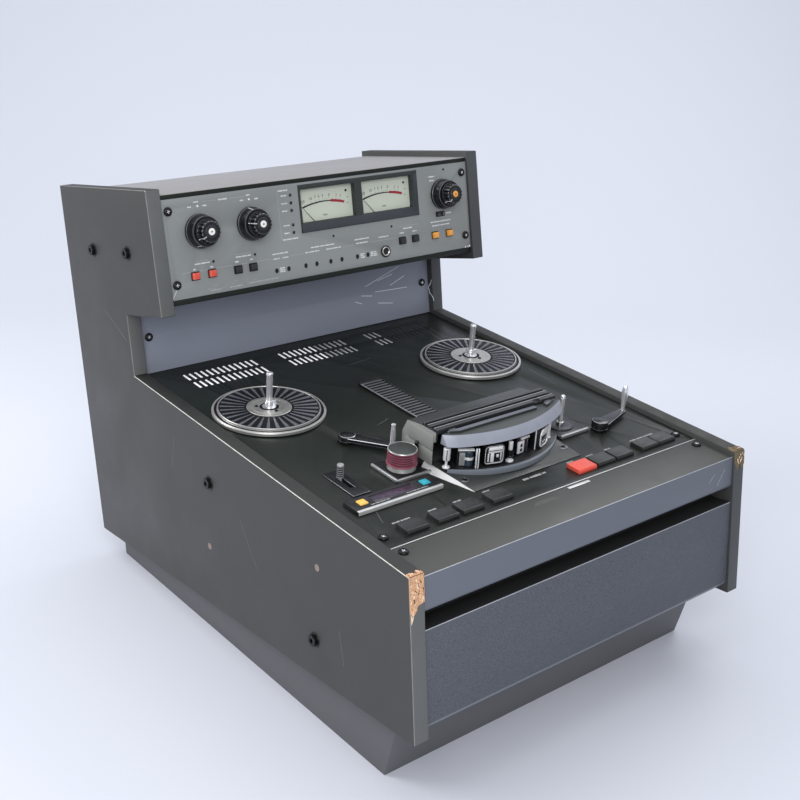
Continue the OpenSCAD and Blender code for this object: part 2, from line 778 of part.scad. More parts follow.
module tension_arm(pivot, rest, hub_top, post_top) {
    hub_low = 1;
    bar_low = 4.2;
    bar_t = 4.3;
    tip_r = 4.5;
    color("#1c1d1f") on_deck(pivot.x, pivot.y) rotate(rest) {
        rod(arm_hub_r, hub_low, hub_top - 1.5);
        rod(arm_hub_r - 1.5, hub_top - 1.5, hub_top);
        rod(pin_r, -pin_depth, hub_low);
        translate([0, 0, bar_low]) linear_extrude(bar_t)
            polygon([[0, 0.5 - arm_hub_r], [arm_l, -tip_r], [arm_l, tip_r], [0, arm_hub_r - 0.5]]);
        translate([arm_l, 0, 0]) {
            rod(tip_r, bar_low, bar_low + bar_t);
            rod(post_r, bar_low + bar_t, post_top - 4);
            translate([0, 0, post_top - 4]) cylinder(r1 = post_r, r2 = post_r - 1.4, h = 4);
        }
    }
}
module left_tension_arm() tension_arm(left_pivot, left_arm_rest, 9.5, left_post_h);
module right_tension_arm() tension_arm(right_pivot, right_arm_rest, 13, right_post_h);

// Plates on the deck: under the counter roller, under the capstan and round the cue lever
roller_seat_h = plate_t + 5.5;
capstan_seat_h = plate_t + 2;
capstan_seat_r = 17;
roller_pin_r = 3;
module transport_plates() {
    color("#8d8f92") {
        difference() {
            union() {
                on_deck(roller_place.x, roller_place.y) slab(plate_w, plate_w, plate_t);
                on_deck(roller_place.x, roller_place.y) rod(roller_r - 0.8, plate_t, roller_seat_h);
            }
            on_deck(roller_place.x, roller_place.y) rod(roller_pin_r + run_gap, -cut, roller_seat_h + cut);
        }
        difference() {
            union() {
                on_deck(capstan_plate_place.x, capstan_plate_place.y) slab(plate_w, plate_w, plate_t);
                on_deck(capstan_place.x, capstan_place.y) rod(capstan_seat_r, plate_t, capstan_seat_h);
            }
            on_deck(capstan_place.x, capstan_place.y) rod(capstan_r + run_gap, -cut, capstan_seat_h + cut);
        }
        difference() {
            on_deck(cue_place.x, cue_plate_d) slab(cue_plate.x, cue_plate.y, 1.5);
            cue_slot(-cut, 1.5 + cut);
        }
    }
}

module counter_roller() {
    low = roller_seat_h + face_gap;
    grooves = 5;
    pitch = (roller_h - low - 3) / grooves;
    color("#7a2f3a") on_deck(roller_place.x, roller_place.y) {
        difference() {
            union() {
                rod(roller_r + 1, low, low + 1.2);
                rod(roller_r, low, roller_h - 1);
                rod(roller_r - 1.2, roller_h - 1, roller_h);
            }
            for (i = [0:grooves - 1]) difference() {
                rod(roller_r + cut, low + 1.5 + i * pitch, low + 2.6 + i * pitch);
                rod(roller_r - 1, low, roller_h);
            }
        }
        rod(roller_pin_r, -deck_t - 4, low);
    }
}

// Capstan shaft with its flywheel under the deck
module capstan() {
    shaft_l = 70;
    wheel_r = 36;
    wheel_low = 32;
    wheel_t = 16;
    color("#c9c9cb") on_deck(capstan_place.x, capstan_place.y) {
        rod(capstan_r, -deck_t - shaft_l, capstan_h - 2);
        translate([0, 0, capstan_h - 2]) cylinder(r1 = capstan_r, r2 = capstan_r - 1.2, h = 2);
        rod(wheel_r, -deck_t - wheel_low, -deck_t - wheel_low + wheel_t);
    }
}

pinch_low = 12;
pinch_arm_low = 6;
pinch_arm_t = 4;
pinch_pin_r = 2.5;
module pinch_arm() {
    reach = norm(pinch_place - pinch_pivot);
    rest = atan2(pinch_place.y - pinch_pivot.y, pinch_place.x - pinch_pivot.x);
    color("#303134") on_deck(pinch_pivot.x, pinch_pivot.y) rotate(rest) {
        rod(9, 1, pinch_arm_low + pinch_arm_t);
        rod(pin_r, -pin_depth, 1);
        translate([0, -5, pinch_arm_low]) cube([reach, 10, pinch_arm_t]);
        translate([reach, 0, 0]) {
            rod(5, pinch_arm_low, pinch_low - face_gap);
            rod(pinch_pin_r, pinch_low - face_gap, pinch_low + pinch_h + face_gap);
            rod(4.5, pinch_low + pinch_h + face_gap, pinch_low + pinch_h + 2);
        }
    }
}
module pinch_roller() {
    color("#191919") on_deck(pinch_place.x, pinch_place.y) difference() {
        rod(pinch_r, pinch_low, pinch_low + pinch_h);
        rod(pinch_pin_r + run_gap, pinch_low - cut, pinch_low + pinch_h + cut);
    }
}

module cue_lever() {
    flange_low = -deck_t - face_gap - 2;
    color("#232426") on_deck(cue_place.x, cue_place.y) {
        rod(cue_stem_r, flange_low, 3);
        rod(cue_r, 3, cue_h - 1);
        rod(cue_r - 0.8, cue_h - 1, cue_h);
        translate([0, 0, flange_low]) slab(14, 14, 2);
    }
}

module counter_housing() {
    hole = counter_button_w + 2 * slide_gap;
    color("#2c2d30") difference() {
        on_deck(counter_place.x, counter_place.y) slab(counter_w, counter_d, counter_h);
        for (p = counter_buttons) on_deck(p.x, p.y, -cut) slab(hole, hole, counter_h + 2 * cut);
        on_deck(counter_place.x, counter_place.y + 2, counter_h - 1.5) slab(counter_window_w, 15, 1.5 + cut);
    }
}
module counter_button(p, colour) {
    color(colour) on_deck(p.x, p.y, 2.4) slab(counter_button_w, counter_button_w, counter_h - 0.4);
}
module counter_reset_button() counter_button(counter_buttons[0], "#e8b84a");
module counter_mode_button() counter_button(counter_buttons[1], "#38a5b8");

// Transport key with a sloping front edge
module transport_key(i, colour) {
    bevel = 2.5;
    color(colour) on_deck(key_places[i], key_d_place) across(key_w)
        polygon([[-key_d / 2, -key_depth], [key_d / 2, -key_depth], [key_d / 2, key_h],
            [-key_d / 2 + bevel, key_h], [-key_d / 2, key_h - bevel]]);
}
module edit_key() transport_key(0, "#2b2c2d");
module cue_key() transport_key(1, "#2b2c2d");
module speed_key() transport_key(2, "#2b2c2d");
module reel_size_key() transport_key(3, "#2b2c2d");
module record_key() transport_key(4, "#e0604f");
module rewind_key() transport_key(5, "#2b2c2d");
module forward_key() transport_key(6, "#2b2c2d");
module stop_key() transport_key(7, "#2b2c2d");
module play_key() transport_key(8, "#2b2c2d");

// Ribbed duct that carries the head cables to the rear, with rounded rear corners
duct_x = -2;
duct_corner = 10;
module duct_shape(inset, low, high) {
    front = base_rear_d + 2;
    rear = spindle_d + 17 - inset;
    half = duct_w / 2 - inset;
    corner = duct_corner - inset;
    translate([-half, front, low]) cube([2 * half, rear - corner - front, high - low]);
    translate([corner - half, front, low]) cube([2 * (half - corner), rear - front, high - low]);
    for (x = [corner - half, half - corner]) translate([x, rear - corner, 0]) rod(corner, low, high);
}
module cable_duct() {
    rim = 2.5;
    pocket = 1.5;
    rib_pitch = 7;
    rib_w = 3;
    last = spindle_d + 6;
    ribs = floor((last - base_rear_d - 6) / rib_pitch);
    color("#34363a") on_deck(duct_x) {
        difference() {
            duct_shape(0, 0, duct_h);
            duct_shape(rim, duct_h - pocket, duct_h + cut);
        }
        for (i = [0:ribs]) translate([rim - duct_w / 2, last - i * rib_pitch - rib_w / 2, duct_h - pocket])
            cube([duct_w - 2 * rim, rib_w, pocket - 0.4]);
    }
}

// Heads

// Wedge plate with a round-fronted platform for the heads
module head_base() {
    side_view = [[base_front_d, 0], [base_rear_d, 0], [base_rear_d, base_rear_h],
        [base_flat_d, base_rear_h], [base_front_d, base_front_h]];
    top_view = [[-base_half_w, base_front_d], [base_half_w, base_front_d], [housing_right, base_flat_d],
        [housing_right, base_rear_d], [housing_left, base_rear_d], [housing_left, base_flat_d]];
    color("#3f4145") on_deck() difference() {
        union() {
            intersection() {
                across(4 * base_half_w) polygon(side_view);
                linear_extrude(base_rear_h + cut) polygon(top_view);
            }
            intersection() {
                translate([0, platform_c]) rod(platform_r, 0, platform_h);
                translate([-base_half_w, platform_d - cut, 0])
                    cube([2 * base_half_w, housing_front_d + 6 - platform_d, platform_h]);
            }
        }
        for (p = base_screws) translate(p) rod(base_screw_r + slide_gap, base_pocket_h, platform_h + cut);
    }
}

// Shell behind the heads, open to the front, with the eyes of the visor's hinge
module head_housing() {
    w = housing_wall;
    outline = [[housing_front_d + 8, base_rear_h], [housing_rear_d, base_rear_h],
        [housing_rear_d, housing_h - 20], [housing_rear_d - 8, housing_h - 4],
        [roof_d, housing_h], [housing_front_d, housing_h],
        [housing_front_d, housing_h - 12], [housing_front_d + 8, housing_h - 14]];
    hollow = [[housing_front_d - cut, base_rear_h + w + 3], [housing_rear_d - w, base_rear_h + w + 3],
        [housing_rear_d - w, housing_h - 21], [housing_rear_d - 10, housing_h - 4 - w],
        [roof_d, housing_h - w], [housing_front_d - cut, housing_h - w]];
    width = housing_right - housing_left;
    middle = (housing_right + housing_left) / 2;
    color("#6b6d70") on_deck() {
        difference() {
            translate([middle, 0, 0]) across(width) polygon(outline);
            translate([middle, 0, 0]) across(width - 2 * w) polygon(hollow);
        }
        for (x = [-1, 1]) translate([x * hinge_x, 0, 0]) difference() {
            union() {
                translate([0, hinge_d, hinge_h]) rotate([0, 90, 0])
                    cylinder(r = hinge_eye_r, h = hinge_w - 2 * face_gap, center = true);
                translate([-hinge_w / 2 + face_gap, hinge_d, hinge_h - hinge_eye_r])
                    cube([hinge_w - 2 * face_gap, housing_front_d + 2 - hinge_d, hinge_eye_r - 0.5]);
            }
            translate([0, hinge_d, hinge_h]) rotate([0, 90, 0])
                cylinder(r = hinge_pin_r + run_gap, h = hinge_w, center = true);
        }
    }
}

// Splicing block on the housing: three rails across it, the front one with a finger notch
module splicing_block() {
    front = visor_rear_d + 1.2;
    rear = roof_d;
    rail_d = [6.6, 6.4, 4.6];
    gap = (rear - front - rail_d[0] - rail_d[1] - rail_d[2]) / 2;
    rail_at = [front, front + rail_d[0] + gap, rear - rail_d[2]];
    right = housing_right + 8;
    notch = [right - 35, right - 25];
    foot_h = splice_h - 2.4;
    color("#5d5f63") on_deck() difference() {
        union() {
            translate([housing_left, front, housing_h]) cube([right - housing_left, rear - front, foot_h]);
            for (i = [0:2]) translate([housing_left, rail_at[i], housing_h])
                cube([right - housing_left, rail_d[i], splice_h]);
        }
        translate([notch[0], front - cut, housing_h + foot_h])
            cube([notch[1] - notch[0], rail_d[0] + 2 * cut, splice_h]);
    }
}

// Four heads and six guides on the platform, along one arc
module tape_heads() {
    head = [17, 20, 21];
    guide_r = 3.4;
    function arc_d(x) = platform_c - sqrt(head_arc_r * head_arc_r - x * x);
    color("#b9bcc0") {
        for (x = head_x) on_deck(x, arc_d(x), platform_h) rotate(asin(x / head_arc_r))
            translate([-head.x / 2, 0, 0]) cube(head);
        for (x = guide_x) on_deck(x, arc_d(x) + 5, platform_h) {
            rod(guide_r, 0, 23);
            rod(guide_r + 1.4, 0, 3);
            rod(guide_r + 1.4, 20, 23);
        }
    }
}

// Flip-up visor: a round-fronted hood on two hinge pins along its rear edge
module head_visor() {
    top = housing_h + 2;
    low = visor_low;
    wall = [[20, top - 3], [20, top], [visor_r, top], [visor_r + visor_flare, low],
        [visor_r + visor_flare - visor_t, low], [visor_r - visor_t, top - 3]];
    whole = [[20, low], [20, top], [visor_r, top], [visor_r + visor_flare, low]];
    notch = hinge_w;
    color("#70737c") on_deck() {
        difference() {
            intersection() {
                translate([0, visor_c, 0]) rotate_extrude($fn = 180) polygon(wall);
                translate([-visor_half_w, platform_d - 20, 0])
                    cube([2 * visor_half_w, visor_rear_d - platform_d + 20, top + cut]);
            }
            for (x = [-1, 1]) translate([x * hinge_x - notch / 2, hinge_d - 3, low])
                cube([notch, 10, top]);
        }
        for (x = [-1, 1]) intersection() {
            translate([0, visor_c, 0]) rotate_extrude($fn = 180) polygon(whole);
            translate([x * (visor_half_w - visor_t / 2) - visor_t / 2, platform_d - 20, 0])
                cube([visor_t, visor_rear_d - platform_d + 20, top + cut]);
        }
        for (x = [-1, 1]) translate([x * hinge_x, hinge_d, hinge_h]) rotate([0, 90, 0])
            cylinder(r = hinge_pin_r, h = notch + 2, center = true);
    }
}

left_side_panel();
right_side_panel();
plinth();
front_panel();
front_apron();
deck_plate();
riser_panel();
top_cover();
rear_panel();
electronics_panel();
power_and_audio_boards();
meter_bezel();
fasteners();
transport_plates();
head_base();
head_housing();
splicing_block();
tape_heads();
cable_duct();
counter_housing();
sockets();
transport_motors();
left_meter_needle();
right_meter_needle();
first_input_outer_knob();
first_input_inner_knob();
second_input_outer_knob();
second_input_inner_knob();
output_outer_knob();
output_inner_knob();
red_button_left();
red_button_right();
input_button_left();
input_button_right();
monitor_button_left();
monitor_button_right();
orange_button_left();
orange_button_right();
panel_slide_switch();
left_reel_table();
right_reel_table();
left_tension_arm();
right_tension_arm();
counter_roller();
capstan();
pinch_arm();
pinch_roller();
head_visor();
cue_lever();
counter_reset_button();
counter_mode_button();
edit_key();
cue_key();
speed_key();
reel_size_key();
record_key();
rewind_key();
forward_key();
stop_key();
play_key();
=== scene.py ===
"""Looks of a reel-to-reel tape recorder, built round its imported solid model.

Lengths in the builders are millimetres on the piece's own face: the deck (x across, d back from
its front edge, h up), the electronics panel (x across, s up, h out) or the case's side view
(y back, z up).
"""

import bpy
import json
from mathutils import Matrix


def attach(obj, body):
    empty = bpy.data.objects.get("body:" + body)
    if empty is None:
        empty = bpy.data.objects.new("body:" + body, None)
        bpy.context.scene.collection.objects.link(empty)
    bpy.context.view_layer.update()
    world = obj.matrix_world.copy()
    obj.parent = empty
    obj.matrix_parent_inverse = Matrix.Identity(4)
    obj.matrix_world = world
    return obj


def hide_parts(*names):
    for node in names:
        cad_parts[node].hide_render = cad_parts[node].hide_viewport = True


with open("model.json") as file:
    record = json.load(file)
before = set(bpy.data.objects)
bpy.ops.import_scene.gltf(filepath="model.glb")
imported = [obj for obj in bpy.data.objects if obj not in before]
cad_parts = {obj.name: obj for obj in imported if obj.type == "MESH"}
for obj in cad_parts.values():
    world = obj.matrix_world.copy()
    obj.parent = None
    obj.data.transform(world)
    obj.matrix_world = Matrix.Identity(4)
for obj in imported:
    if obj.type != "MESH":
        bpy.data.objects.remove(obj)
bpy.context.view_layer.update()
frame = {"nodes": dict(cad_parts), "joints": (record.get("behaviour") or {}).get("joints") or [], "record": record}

import json
import math
import random

import bmesh
import bpy
from bpy.props import FloatProperty, FloatVectorProperty, IntProperty, PointerProperty
from mathutils import Matrix, Vector

bl_info = {
    "name": "Reel-to-reel tape recorder",
    "version": (1, 0, 0),
    "blender": (4, 5, 0),
    "location": "3D View > Sidebar > Tape recorder",
    "description": "Builds the looks of a studio tape recorder round its packed solids",
    "category": "Object",
}

MM = 0.001
ACROSS = Vector((1.0, 0.0, 0.0))
FINISH = {}
# Stretch of the grain along a brushing line
BRUSHED = (0.05, 1.0, 1.0)


def linear(code):
    """Linear colour of an sRGB hex value."""
    parts = [int(code[i:i + 2], 16) / 255 for i in (1, 3, 5)]
    return tuple(c / 12.92 if c <= 0.04045 else ((c + 0.055) / 1.055) ** 2.4 for c in parts)


# Frames of the machine's faces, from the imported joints

def joint(name):
    """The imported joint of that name."""
    return next(j for j in frame["joints"] if j["name"] == name)


def face_frame(name, x, a, h):
    """Frame, in millimetres, of the face on which the named joint stands at (x, a, h)."""
    out = Vector(joint(name)["axis"]).normalized()
    up = out.cross(ACROSS).normalized()
    origin = Vector(joint(name)["pos_m"]) - MM * (x * ACROSS + a * up + h * out)
    turn = Matrix((ACROSS, up, out)).transposed().to_4x4()
    return Matrix.Translation(origin) @ turn @ Matrix.Scale(MM, 4)


REEL_X, REEL_D = 165.5, 394
KNOBS = ((-192.5, 96.5), (-119.5, 96.5), (194.5, 98.5))
DECK = face_frame("left_reel_spin", -REEL_X, REEL_D, 5)
PANEL = face_frame("output_outer_turn", *KNOBS[2], 5)
FRONT_H, DECK_DROP, TILT = 186.0, 6.0, math.radians(5)
CASE = (Matrix.Translation(DECK @ Vector((0, 0, DECK_DROP)))
        @ Matrix.Rotation(-TILT, 4, "X") @ Matrix.Scale(MM, 4)
        @ Matrix.Translation((0, 0, -FRONT_H)))
# A flat outline in a side view, drawn out along X
ALONG_X = Matrix(((0, 0, 1, 0), (1, 0, 0, 0), (0, 1, 0, 0), (0, 0, 0, 1)))
SIDE_VIEW = CASE @ ALONG_X
OUTLINE = [(0, 0), (0, 186), (560, 269), (563.4, 349), (466.4, 361), (478.4, 513), (728.4, 499), (714.4, 7)]
HALF_W, SIDE_T = 241.5, 19.0
FRONT_SET, SLOT_BACK, SHEET_T, APRON_LOW, SLOT_LOW = 2.5, 30.5, 2.0, 140.3, 121.8
REAR_FOOT = Vector((0, 702.49, 10))
REAR_LEAN = math.atan2(14, 492)
RISER_FOOT = Vector((0, 569.82, 264.84))
RISER_LEAN = math.atan2(3.4, 80)
RISER = CASE @ (Matrix.Translation(RISER_FOOT)
                @ Matrix.Rotation(math.pi / 2 - RISER_LEAN, 4, "X"))
KEYS = (-190.5, -148.5, -113.5, -70.5, 62, 94, 126, 171.5, 202)
KEY_D = 80
LAMP_ROWS = (125, 115, 105.5, 87, 77.3)
SWITCH_S = 71
METER_X, METER_PITCH, METER_W, METER_S, METER_LOW = 50, 98, 86.5, 43.3, 86.5
NEEDLE_REST = 41.5
ROLLER, CAPSTAN = (-119.5, 189), (118, 172)
PINCH_ROLLER, PINCH_PIVOT = (100, 190), (132, 212)
COUNTER_D, RESET_X, MODE_X = 143.5, -209, -123
VENT_REAR_D, VENT_PITCH = 566.12, 8.5
# The heads stand along one arc, and the visor follows a wider one
HEAD_ARC_D, PLATFORM_R, VISOR_ARC_D = 251, 135, 318
HINGE_X, HINGE_D, HINGE_H = 75, 158.5, 50.5
REAR = CASE @ Matrix.Translation(REAR_FOOT) @ Matrix.Rotation(math.pi, 4, "Z") \
    @ Matrix.Rotation(math.pi / 2 + REAR_LEAN, 4, "X")


def deck(x=0.0, d=0.0, h=0.0, turn=0.0):
    """Place on the deck, turned about its upright."""
    return DECK @ Matrix.Translation((x, d, h)) @ Matrix.Rotation(math.radians(turn), 4, "Z")


def panel(x=0.0, s=0.0, h=0.0, turn=0.0):
    """Place on the electronics panel, turned about its outward direction."""
    return PANEL @ Matrix.Translation((x, s, h)) @ Matrix.Rotation(math.radians(turn), 4, "Z")


def rear(x=0.0, s=0.0, h=0.0):
    """Place on the rear panel, with x to the left as seen from the front."""
    return REAR @ Matrix.Translation((x, s, h))


def outer_face(side, y, z):
    """Place on the outer face of the left (-1) or right (1) side panel."""
    return CASE @ Matrix.Translation((side * (HALF_W + SIDE_T), y, z)) \
        @ Matrix.Rotation(side * math.pi / 2, 4, "Y")


def front_face(x, z, y=0.0):
    """Place on a face that looks to the front, y behind the side panels' front edge."""
    return CASE @ Matrix.Translation((x, y, z)) @ Matrix.Rotation(math.pi / 2, 4, "X")


# Shapes

def round_edges(part, width, seg=2, angle=30):
    """Bevel every edge sharper than the angle, in degrees."""
    edges = [e for e in part.edges
             if len(e.link_faces) == 2 and e.calc_face_angle(0) > math.radians(angle)]
    bmesh.ops.bevel(part, geom=edges, offset=width, offset_type="OFFSET", segments=seg, profile=0.5,
                    affect="EDGES", clamp_overlap=True)
    return part


def box(low, high, bevel=0.0, seg=2):
    """Box between two corners, with rounded edges."""
    part = bmesh.new()
    bmesh.ops.create_cube(part, size=1.0)
    for v in part.verts:
        v.co = Vector([low[i] if v.co[i] < 0 else high[i] for i in range(3)])
    return round_edges(part, bevel, seg) if bevel else part


def slab(w, d, low, high, bevel=0.0, at=(0.0, 0.0)):
    """Box of a width and depth centred on a point, between two heights."""
    x, y = at
    return box((x - w / 2, y - d / 2, low), (x + w / 2, y + d / 2, high), bevel)


def prism(outline, low, high, bevel=0.0, seg=2, angle=30):
    """Flat outline drawn out between two heights, with rounded edges."""
    part = bmesh.new()
    foot = part.faces.new([part.verts.new((x, y, low)) for x, y in outline])
    grown = bmesh.ops.extrude_face_region(part, geom=[foot])["geom"]
    moved = [v for v in grown if isinstance(v, bmesh.types.BMVert)]
    bmesh.ops.translate(part, vec=(0, 0, high - low), verts=moved)
    bmesh.ops.recalc_face_normals(part, faces=part.faces)
    return round_edges(part, bevel, seg, angle) if bevel else part


def border(outer, inner, low, high, bevel=0.0):
    """Frame between two outlines with the same number of corners, between two heights."""
    part = bmesh.new()
    rows = [[part.verts.new((x, y, z)) for x, y in line]
            for line, z in ((outer, low), (outer, high), (inner, high), (inner, low))]
    for one, two in zip(rows, rows[1:] + rows[:1]):
        for i in range(len(outer)):
            j = (i + 1) % len(outer)
            part.faces.new((one[i], one[j], two[j], two[i]))
    bmesh.ops.recalc_face_normals(part, faces=part.faces)
    return round_edges(part, bevel) if bevel else part


def oblong(w, d, at=(0.0, 0.0), r=0.0, steps=4):
    """Corners of a rectangle centred on a point, rounded by a radius."""
    points = []
    for k, (sx, sy) in enumerate(((1, 1), (-1, 1), (-1, -1), (1, -1))):
        for i in range(steps + 1 if r else 1):
            a = math.radians(90 * k + (90 * i / steps if r else 45))
            points.append((at[0] + sx * (w / 2 - r) + r * math.cos(a),
                           at[1] + sy * (d / 2 - r) + r * math.sin(a)))
    return points


def teardrop(r, tip_r, length, steps=20):
    """Outline round two circles, the larger at the origin and the smaller along x."""
    lean = math.acos((r - tip_r) / length)
    big = [lean + (2 * math.pi - 2 * lean) * i / steps for i in range(steps + 1)]
    small = [-lean + 2 * lean * i / steps for i in range(steps + 1)]
    return [(r * math.cos(a), r * math.sin(a)) for a in big] \
        + [(length + tip_r * math.cos(a), tip_r * math.sin(a)) for a in small]


def lathe(profile, steps=64, shape=None, ring=False):
    """Solid turned from a (radius, height) profile, or a ring if the profile closes on itself.
    shape(angle, radius, height) may bend the radius."""
    part = bmesh.new()
    rings = []
    for r, z in profile:
        if r < 1e-6:
            rings.append([part.verts.new((0, 0, z))])
            continue
        turns = [2 * math.pi * i / steps for i in range(steps)]
        bent = [(a, shape(a, r, z) if shape else r) for a in turns]
        rings.append([part.verts.new((q * math.cos(a), q * math.sin(a), z)) for a, q in bent])
    for low, high in zip(rings, rings[1:] + (rings[:1] if ring else [])):
        for i in range(steps):
            j = (i + 1) % steps
            corners = ([low[0]] if len(low) == 1 else [low[i], low[j]]) \
                + ([high[0]] if len(high) == 1 else [high[j], high[i]])
            if len(corners) > 2:
                part.faces.new(corners)
    for row in (rings[0], rings[-1]):
        if len(row) > 1 and not ring:
            part.faces.new(row)
    bmesh.ops.recalc_face_normals(part, faces=part.faces)
    return part


def hexed(limit):
    """Bends radii up to a limit into a hexagon."""
    def bend(a, r, z):
        if r > limit:
            return r
        return r * math.cos(math.pi / 6) / math.cos(a % (math.pi / 3) - math.pi / 6)
    return bend


def fluted(count, depth, low, high, inner=0.0):
    """Bends radii between two heights into scallops."""
    def bend(a, r, z):
        if not low <= z <= high or r < inner:
            return r
        return r - depth * max(0.0, math.cos(a * count)) ** 2
    return bend


def hull(points):
    """Smallest solid with flat faces round some points."""
    part = bmesh.new()
    verts = [part.verts.new(point) for point in points]
    bmesh.ops.convex_hull(part, input=verts)
    bmesh.ops.dissolve_limit(part, angle_limit=math.radians(0.5), verts=part.verts, edges=part.edges)
    bmesh.ops.recalc_face_normals(part, faces=part.faces)
    return part


def dome_screw(r, h):
    """Screw head with a round edge and a hexagon socket."""
    k = 0.47 * r
    return lathe([(0.96 * r, 0), (r, 0.22 * h), (0.98 * r, 0.5 * h), (0.86 * r, 0.8 * h), (0.64 * r, h),
                  (k, h), (0.96 * k, 0.4 * h), (0, 0.4 * h)], 24, hexed(k + 1e-6))


def arc_band(centre, low_r, high_r, start, end, low, high, steps=40):
    """Flat band along an arc, between two heights. A radius may be a pair, for the two ends.
    Angles are in degrees."""
    turns = [math.radians(start + (end - start) * i / steps) for i in range(steps + 1)]
    ends = (low_r if isinstance(low_r, tuple) else (low_r, low_r),
            high_r if isinstance(high_r, tuple) else (high_r, high_r))
    rims = []
    for first, last in ends:
        reach = [first + (last - first) * i / steps for i in range(steps + 1)]
        rims.append([(centre[0] + r * math.cos(a), centre[1] + r * math.sin(a))
                     for r, a in zip(reach, turns)])
    return prism(rims[0] + rims[1][::-1], low, high)


def digits(text, size, at, low, high, turn=0.0):
    """Plain numerals on a dial, as thin solids centred on a point."""
    curve = bpy.data.curves.new("digits", "FONT")
    curve.body, curve.size, curve.align_x, curve.align_y = text, size, "CENTER", "CENTER"
    curve.resolution_u = 3
    curve.extrude = (high - low) / 2
    carrier = bpy.data.objects.new("digits", curve)
    bpy.context.scene.collection.objects.link(carrier)
    bpy.context.view_layer.update()
    graph = bpy.context.evaluated_depsgraph_get()
    mesh = bpy.data.meshes.new_from_object(carrier.evaluated_get(graph))
    part = bmesh.new()
    part.from_mesh(mesh)
    bmesh.ops.remove_doubles(part, verts=part.verts, dist=1e-5)
    part.transform(Matrix.Translation((at[0], at[1], (low + high) / 2)) @ Matrix.Rotation(turn, 4, "Z"))
    bpy.data.objects.remove(carrier)
    bpy.data.curves.remove(curve)
    bpy.data.meshes.remove(mesh)
    return part


def small_print(x, y, width, height, seed, low=0.0, thick=0.06):
    """Row of short bars that stands for small print, with no letters in it."""
    rng = random.Random(seed)
    part = bmesh.new()
    at, right = x - width / 2, x + width / 2
    word = rng.randint(3, 7)
    while at + 0.5 * height < right:
        w = min(rng.uniform(0.42, 0.68) * height, right - at)
        cube = bmesh.ops.create_cube(part, size=1.0)["verts"]
        tall = height * rng.choice((1.0, 1.0, 0.72, 0.86))
        for v in cube:
            v.co = Vector((at + (v.co.x + 0.5) * w, y + v.co.y * tall, low + (v.co.z + 0.5) * thick))
        word -= 1
        at += w + height * (0.22 if word else 0.62)
        word = word or rng.randint(3, 7)
    return part


def softened(node, width, seg=2, angle=35):
    """Copy of a solid with its sharp edges rounded, in metres."""
    part = bmesh.new()
    part.from_mesh(frame["nodes"][node].data)
    bmesh.ops.remove_doubles(part, verts=part.verts, dist=1e-6)
    bmesh.ops.dissolve_limit(part, angle_limit=math.radians(0.4), verts=part.verts, edges=part.edges)
    return round_edges(part, width * MM, seg, angle)


class Build:
    """One piece put together from parts, each with its finish, on one place of the machine."""

    def __init__(self, name, place=None):
        self.name, self.place = name, place
        self.mesh, self.finishes = bmesh.new(), []

    def add(self, part, finish, at=None, local=None):
        """Join a part, moved by a matrix if one is given. finish is a name, or a function that names
        the finish of a face from its centre and normal, in the local frame if one is given."""
        if at is not None:
            part.transform(at)
        part.normal_update()
        back = local.inverted() if local else None
        for f in part.faces:
            name = finish
            if callable(finish):
                centre, normal = f.calc_center_median(), f.normal
                if back:
                    centre, normal = back @ centre, (back.to_3x3() @ normal).normalized()
                name = finish(centre, normal)
            if name not in self.finishes:
                self.finishes.append(name)
            f.material_index = self.finishes.index(name)
        mesh = bpy.data.meshes.new("part")
        part.to_mesh(mesh)
        part.free()
        self.mesh.from_mesh(mesh)
        bpy.data.meshes.remove(mesh)
        return self

    def done(self, slot, body="case", replaces=(), sharp=32):
        """Make the object, ride it on its body and hide the solids it stands in for."""
        if self.place is not None:
            self.mesh.transform(self.place)
        mesh = bpy.data.meshes.new(self.name)
        self.mesh.to_mesh(mesh)
        self.mesh.free()
        for finish in self.finishes:
            mesh.materials.append(FINISH[finish])
        mesh.shade_smooth()
        mesh.set_sharp_from_angle(angle=math.radians(sharp))
        piece = bpy.data.objects.new(self.name, mesh)
        bpy.context.scene.collection.objects.link(piece)
        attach(piece, body)
        if replaces:
            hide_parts(*replaces)
        return piece


SLOTS = {s["node"]: s["material_slot"] for s in frame["record"]["subparts"]}


def rounded_node(node, width, finish, body="case", seg=2, local=None):
    """Stand-in for a solid, with rounded edges and its finish."""
    piece = Build(node + "_dressed").add(softened(node, width, seg), finish, local=local)
    return piece.done(SLOTS[node], body, (node,))


def faces_and_edges(face, edge, limit=0.985):
    """Finish for flat faces along the frame's axes, and another for the rounded edges."""
    return lambda centre, normal: face if max(abs(n) for n in normal) > limit else edge


def shift(x, y, z=0.0, turn=0.0):
    """Matrix that moves a part, after turning it about its upright."""
    return Matrix.Translation((x, y, z)) @ Matrix.Rotation(math.radians(turn), 4, "Z")


def spun(turn):
    """Matrix that turns a part about its upright."""
    return Matrix.Rotation(math.radians(turn), 4, "Z")


# Materials

def put(tree, kind, inputs=None, **settings):
    """Add a shader node, with its settings, and fill or link its inputs."""
    node = tree.nodes.new("ShaderNode" + kind)
    for key, value in settings.items():
        setattr(node, key, value)
    for key, value in (inputs or {}).items():
        if isinstance(value, bpy.types.NodeSocket):
            tree.links.new(value, node.inputs[key])
        else:
            node.inputs[key].default_value = value
    return node


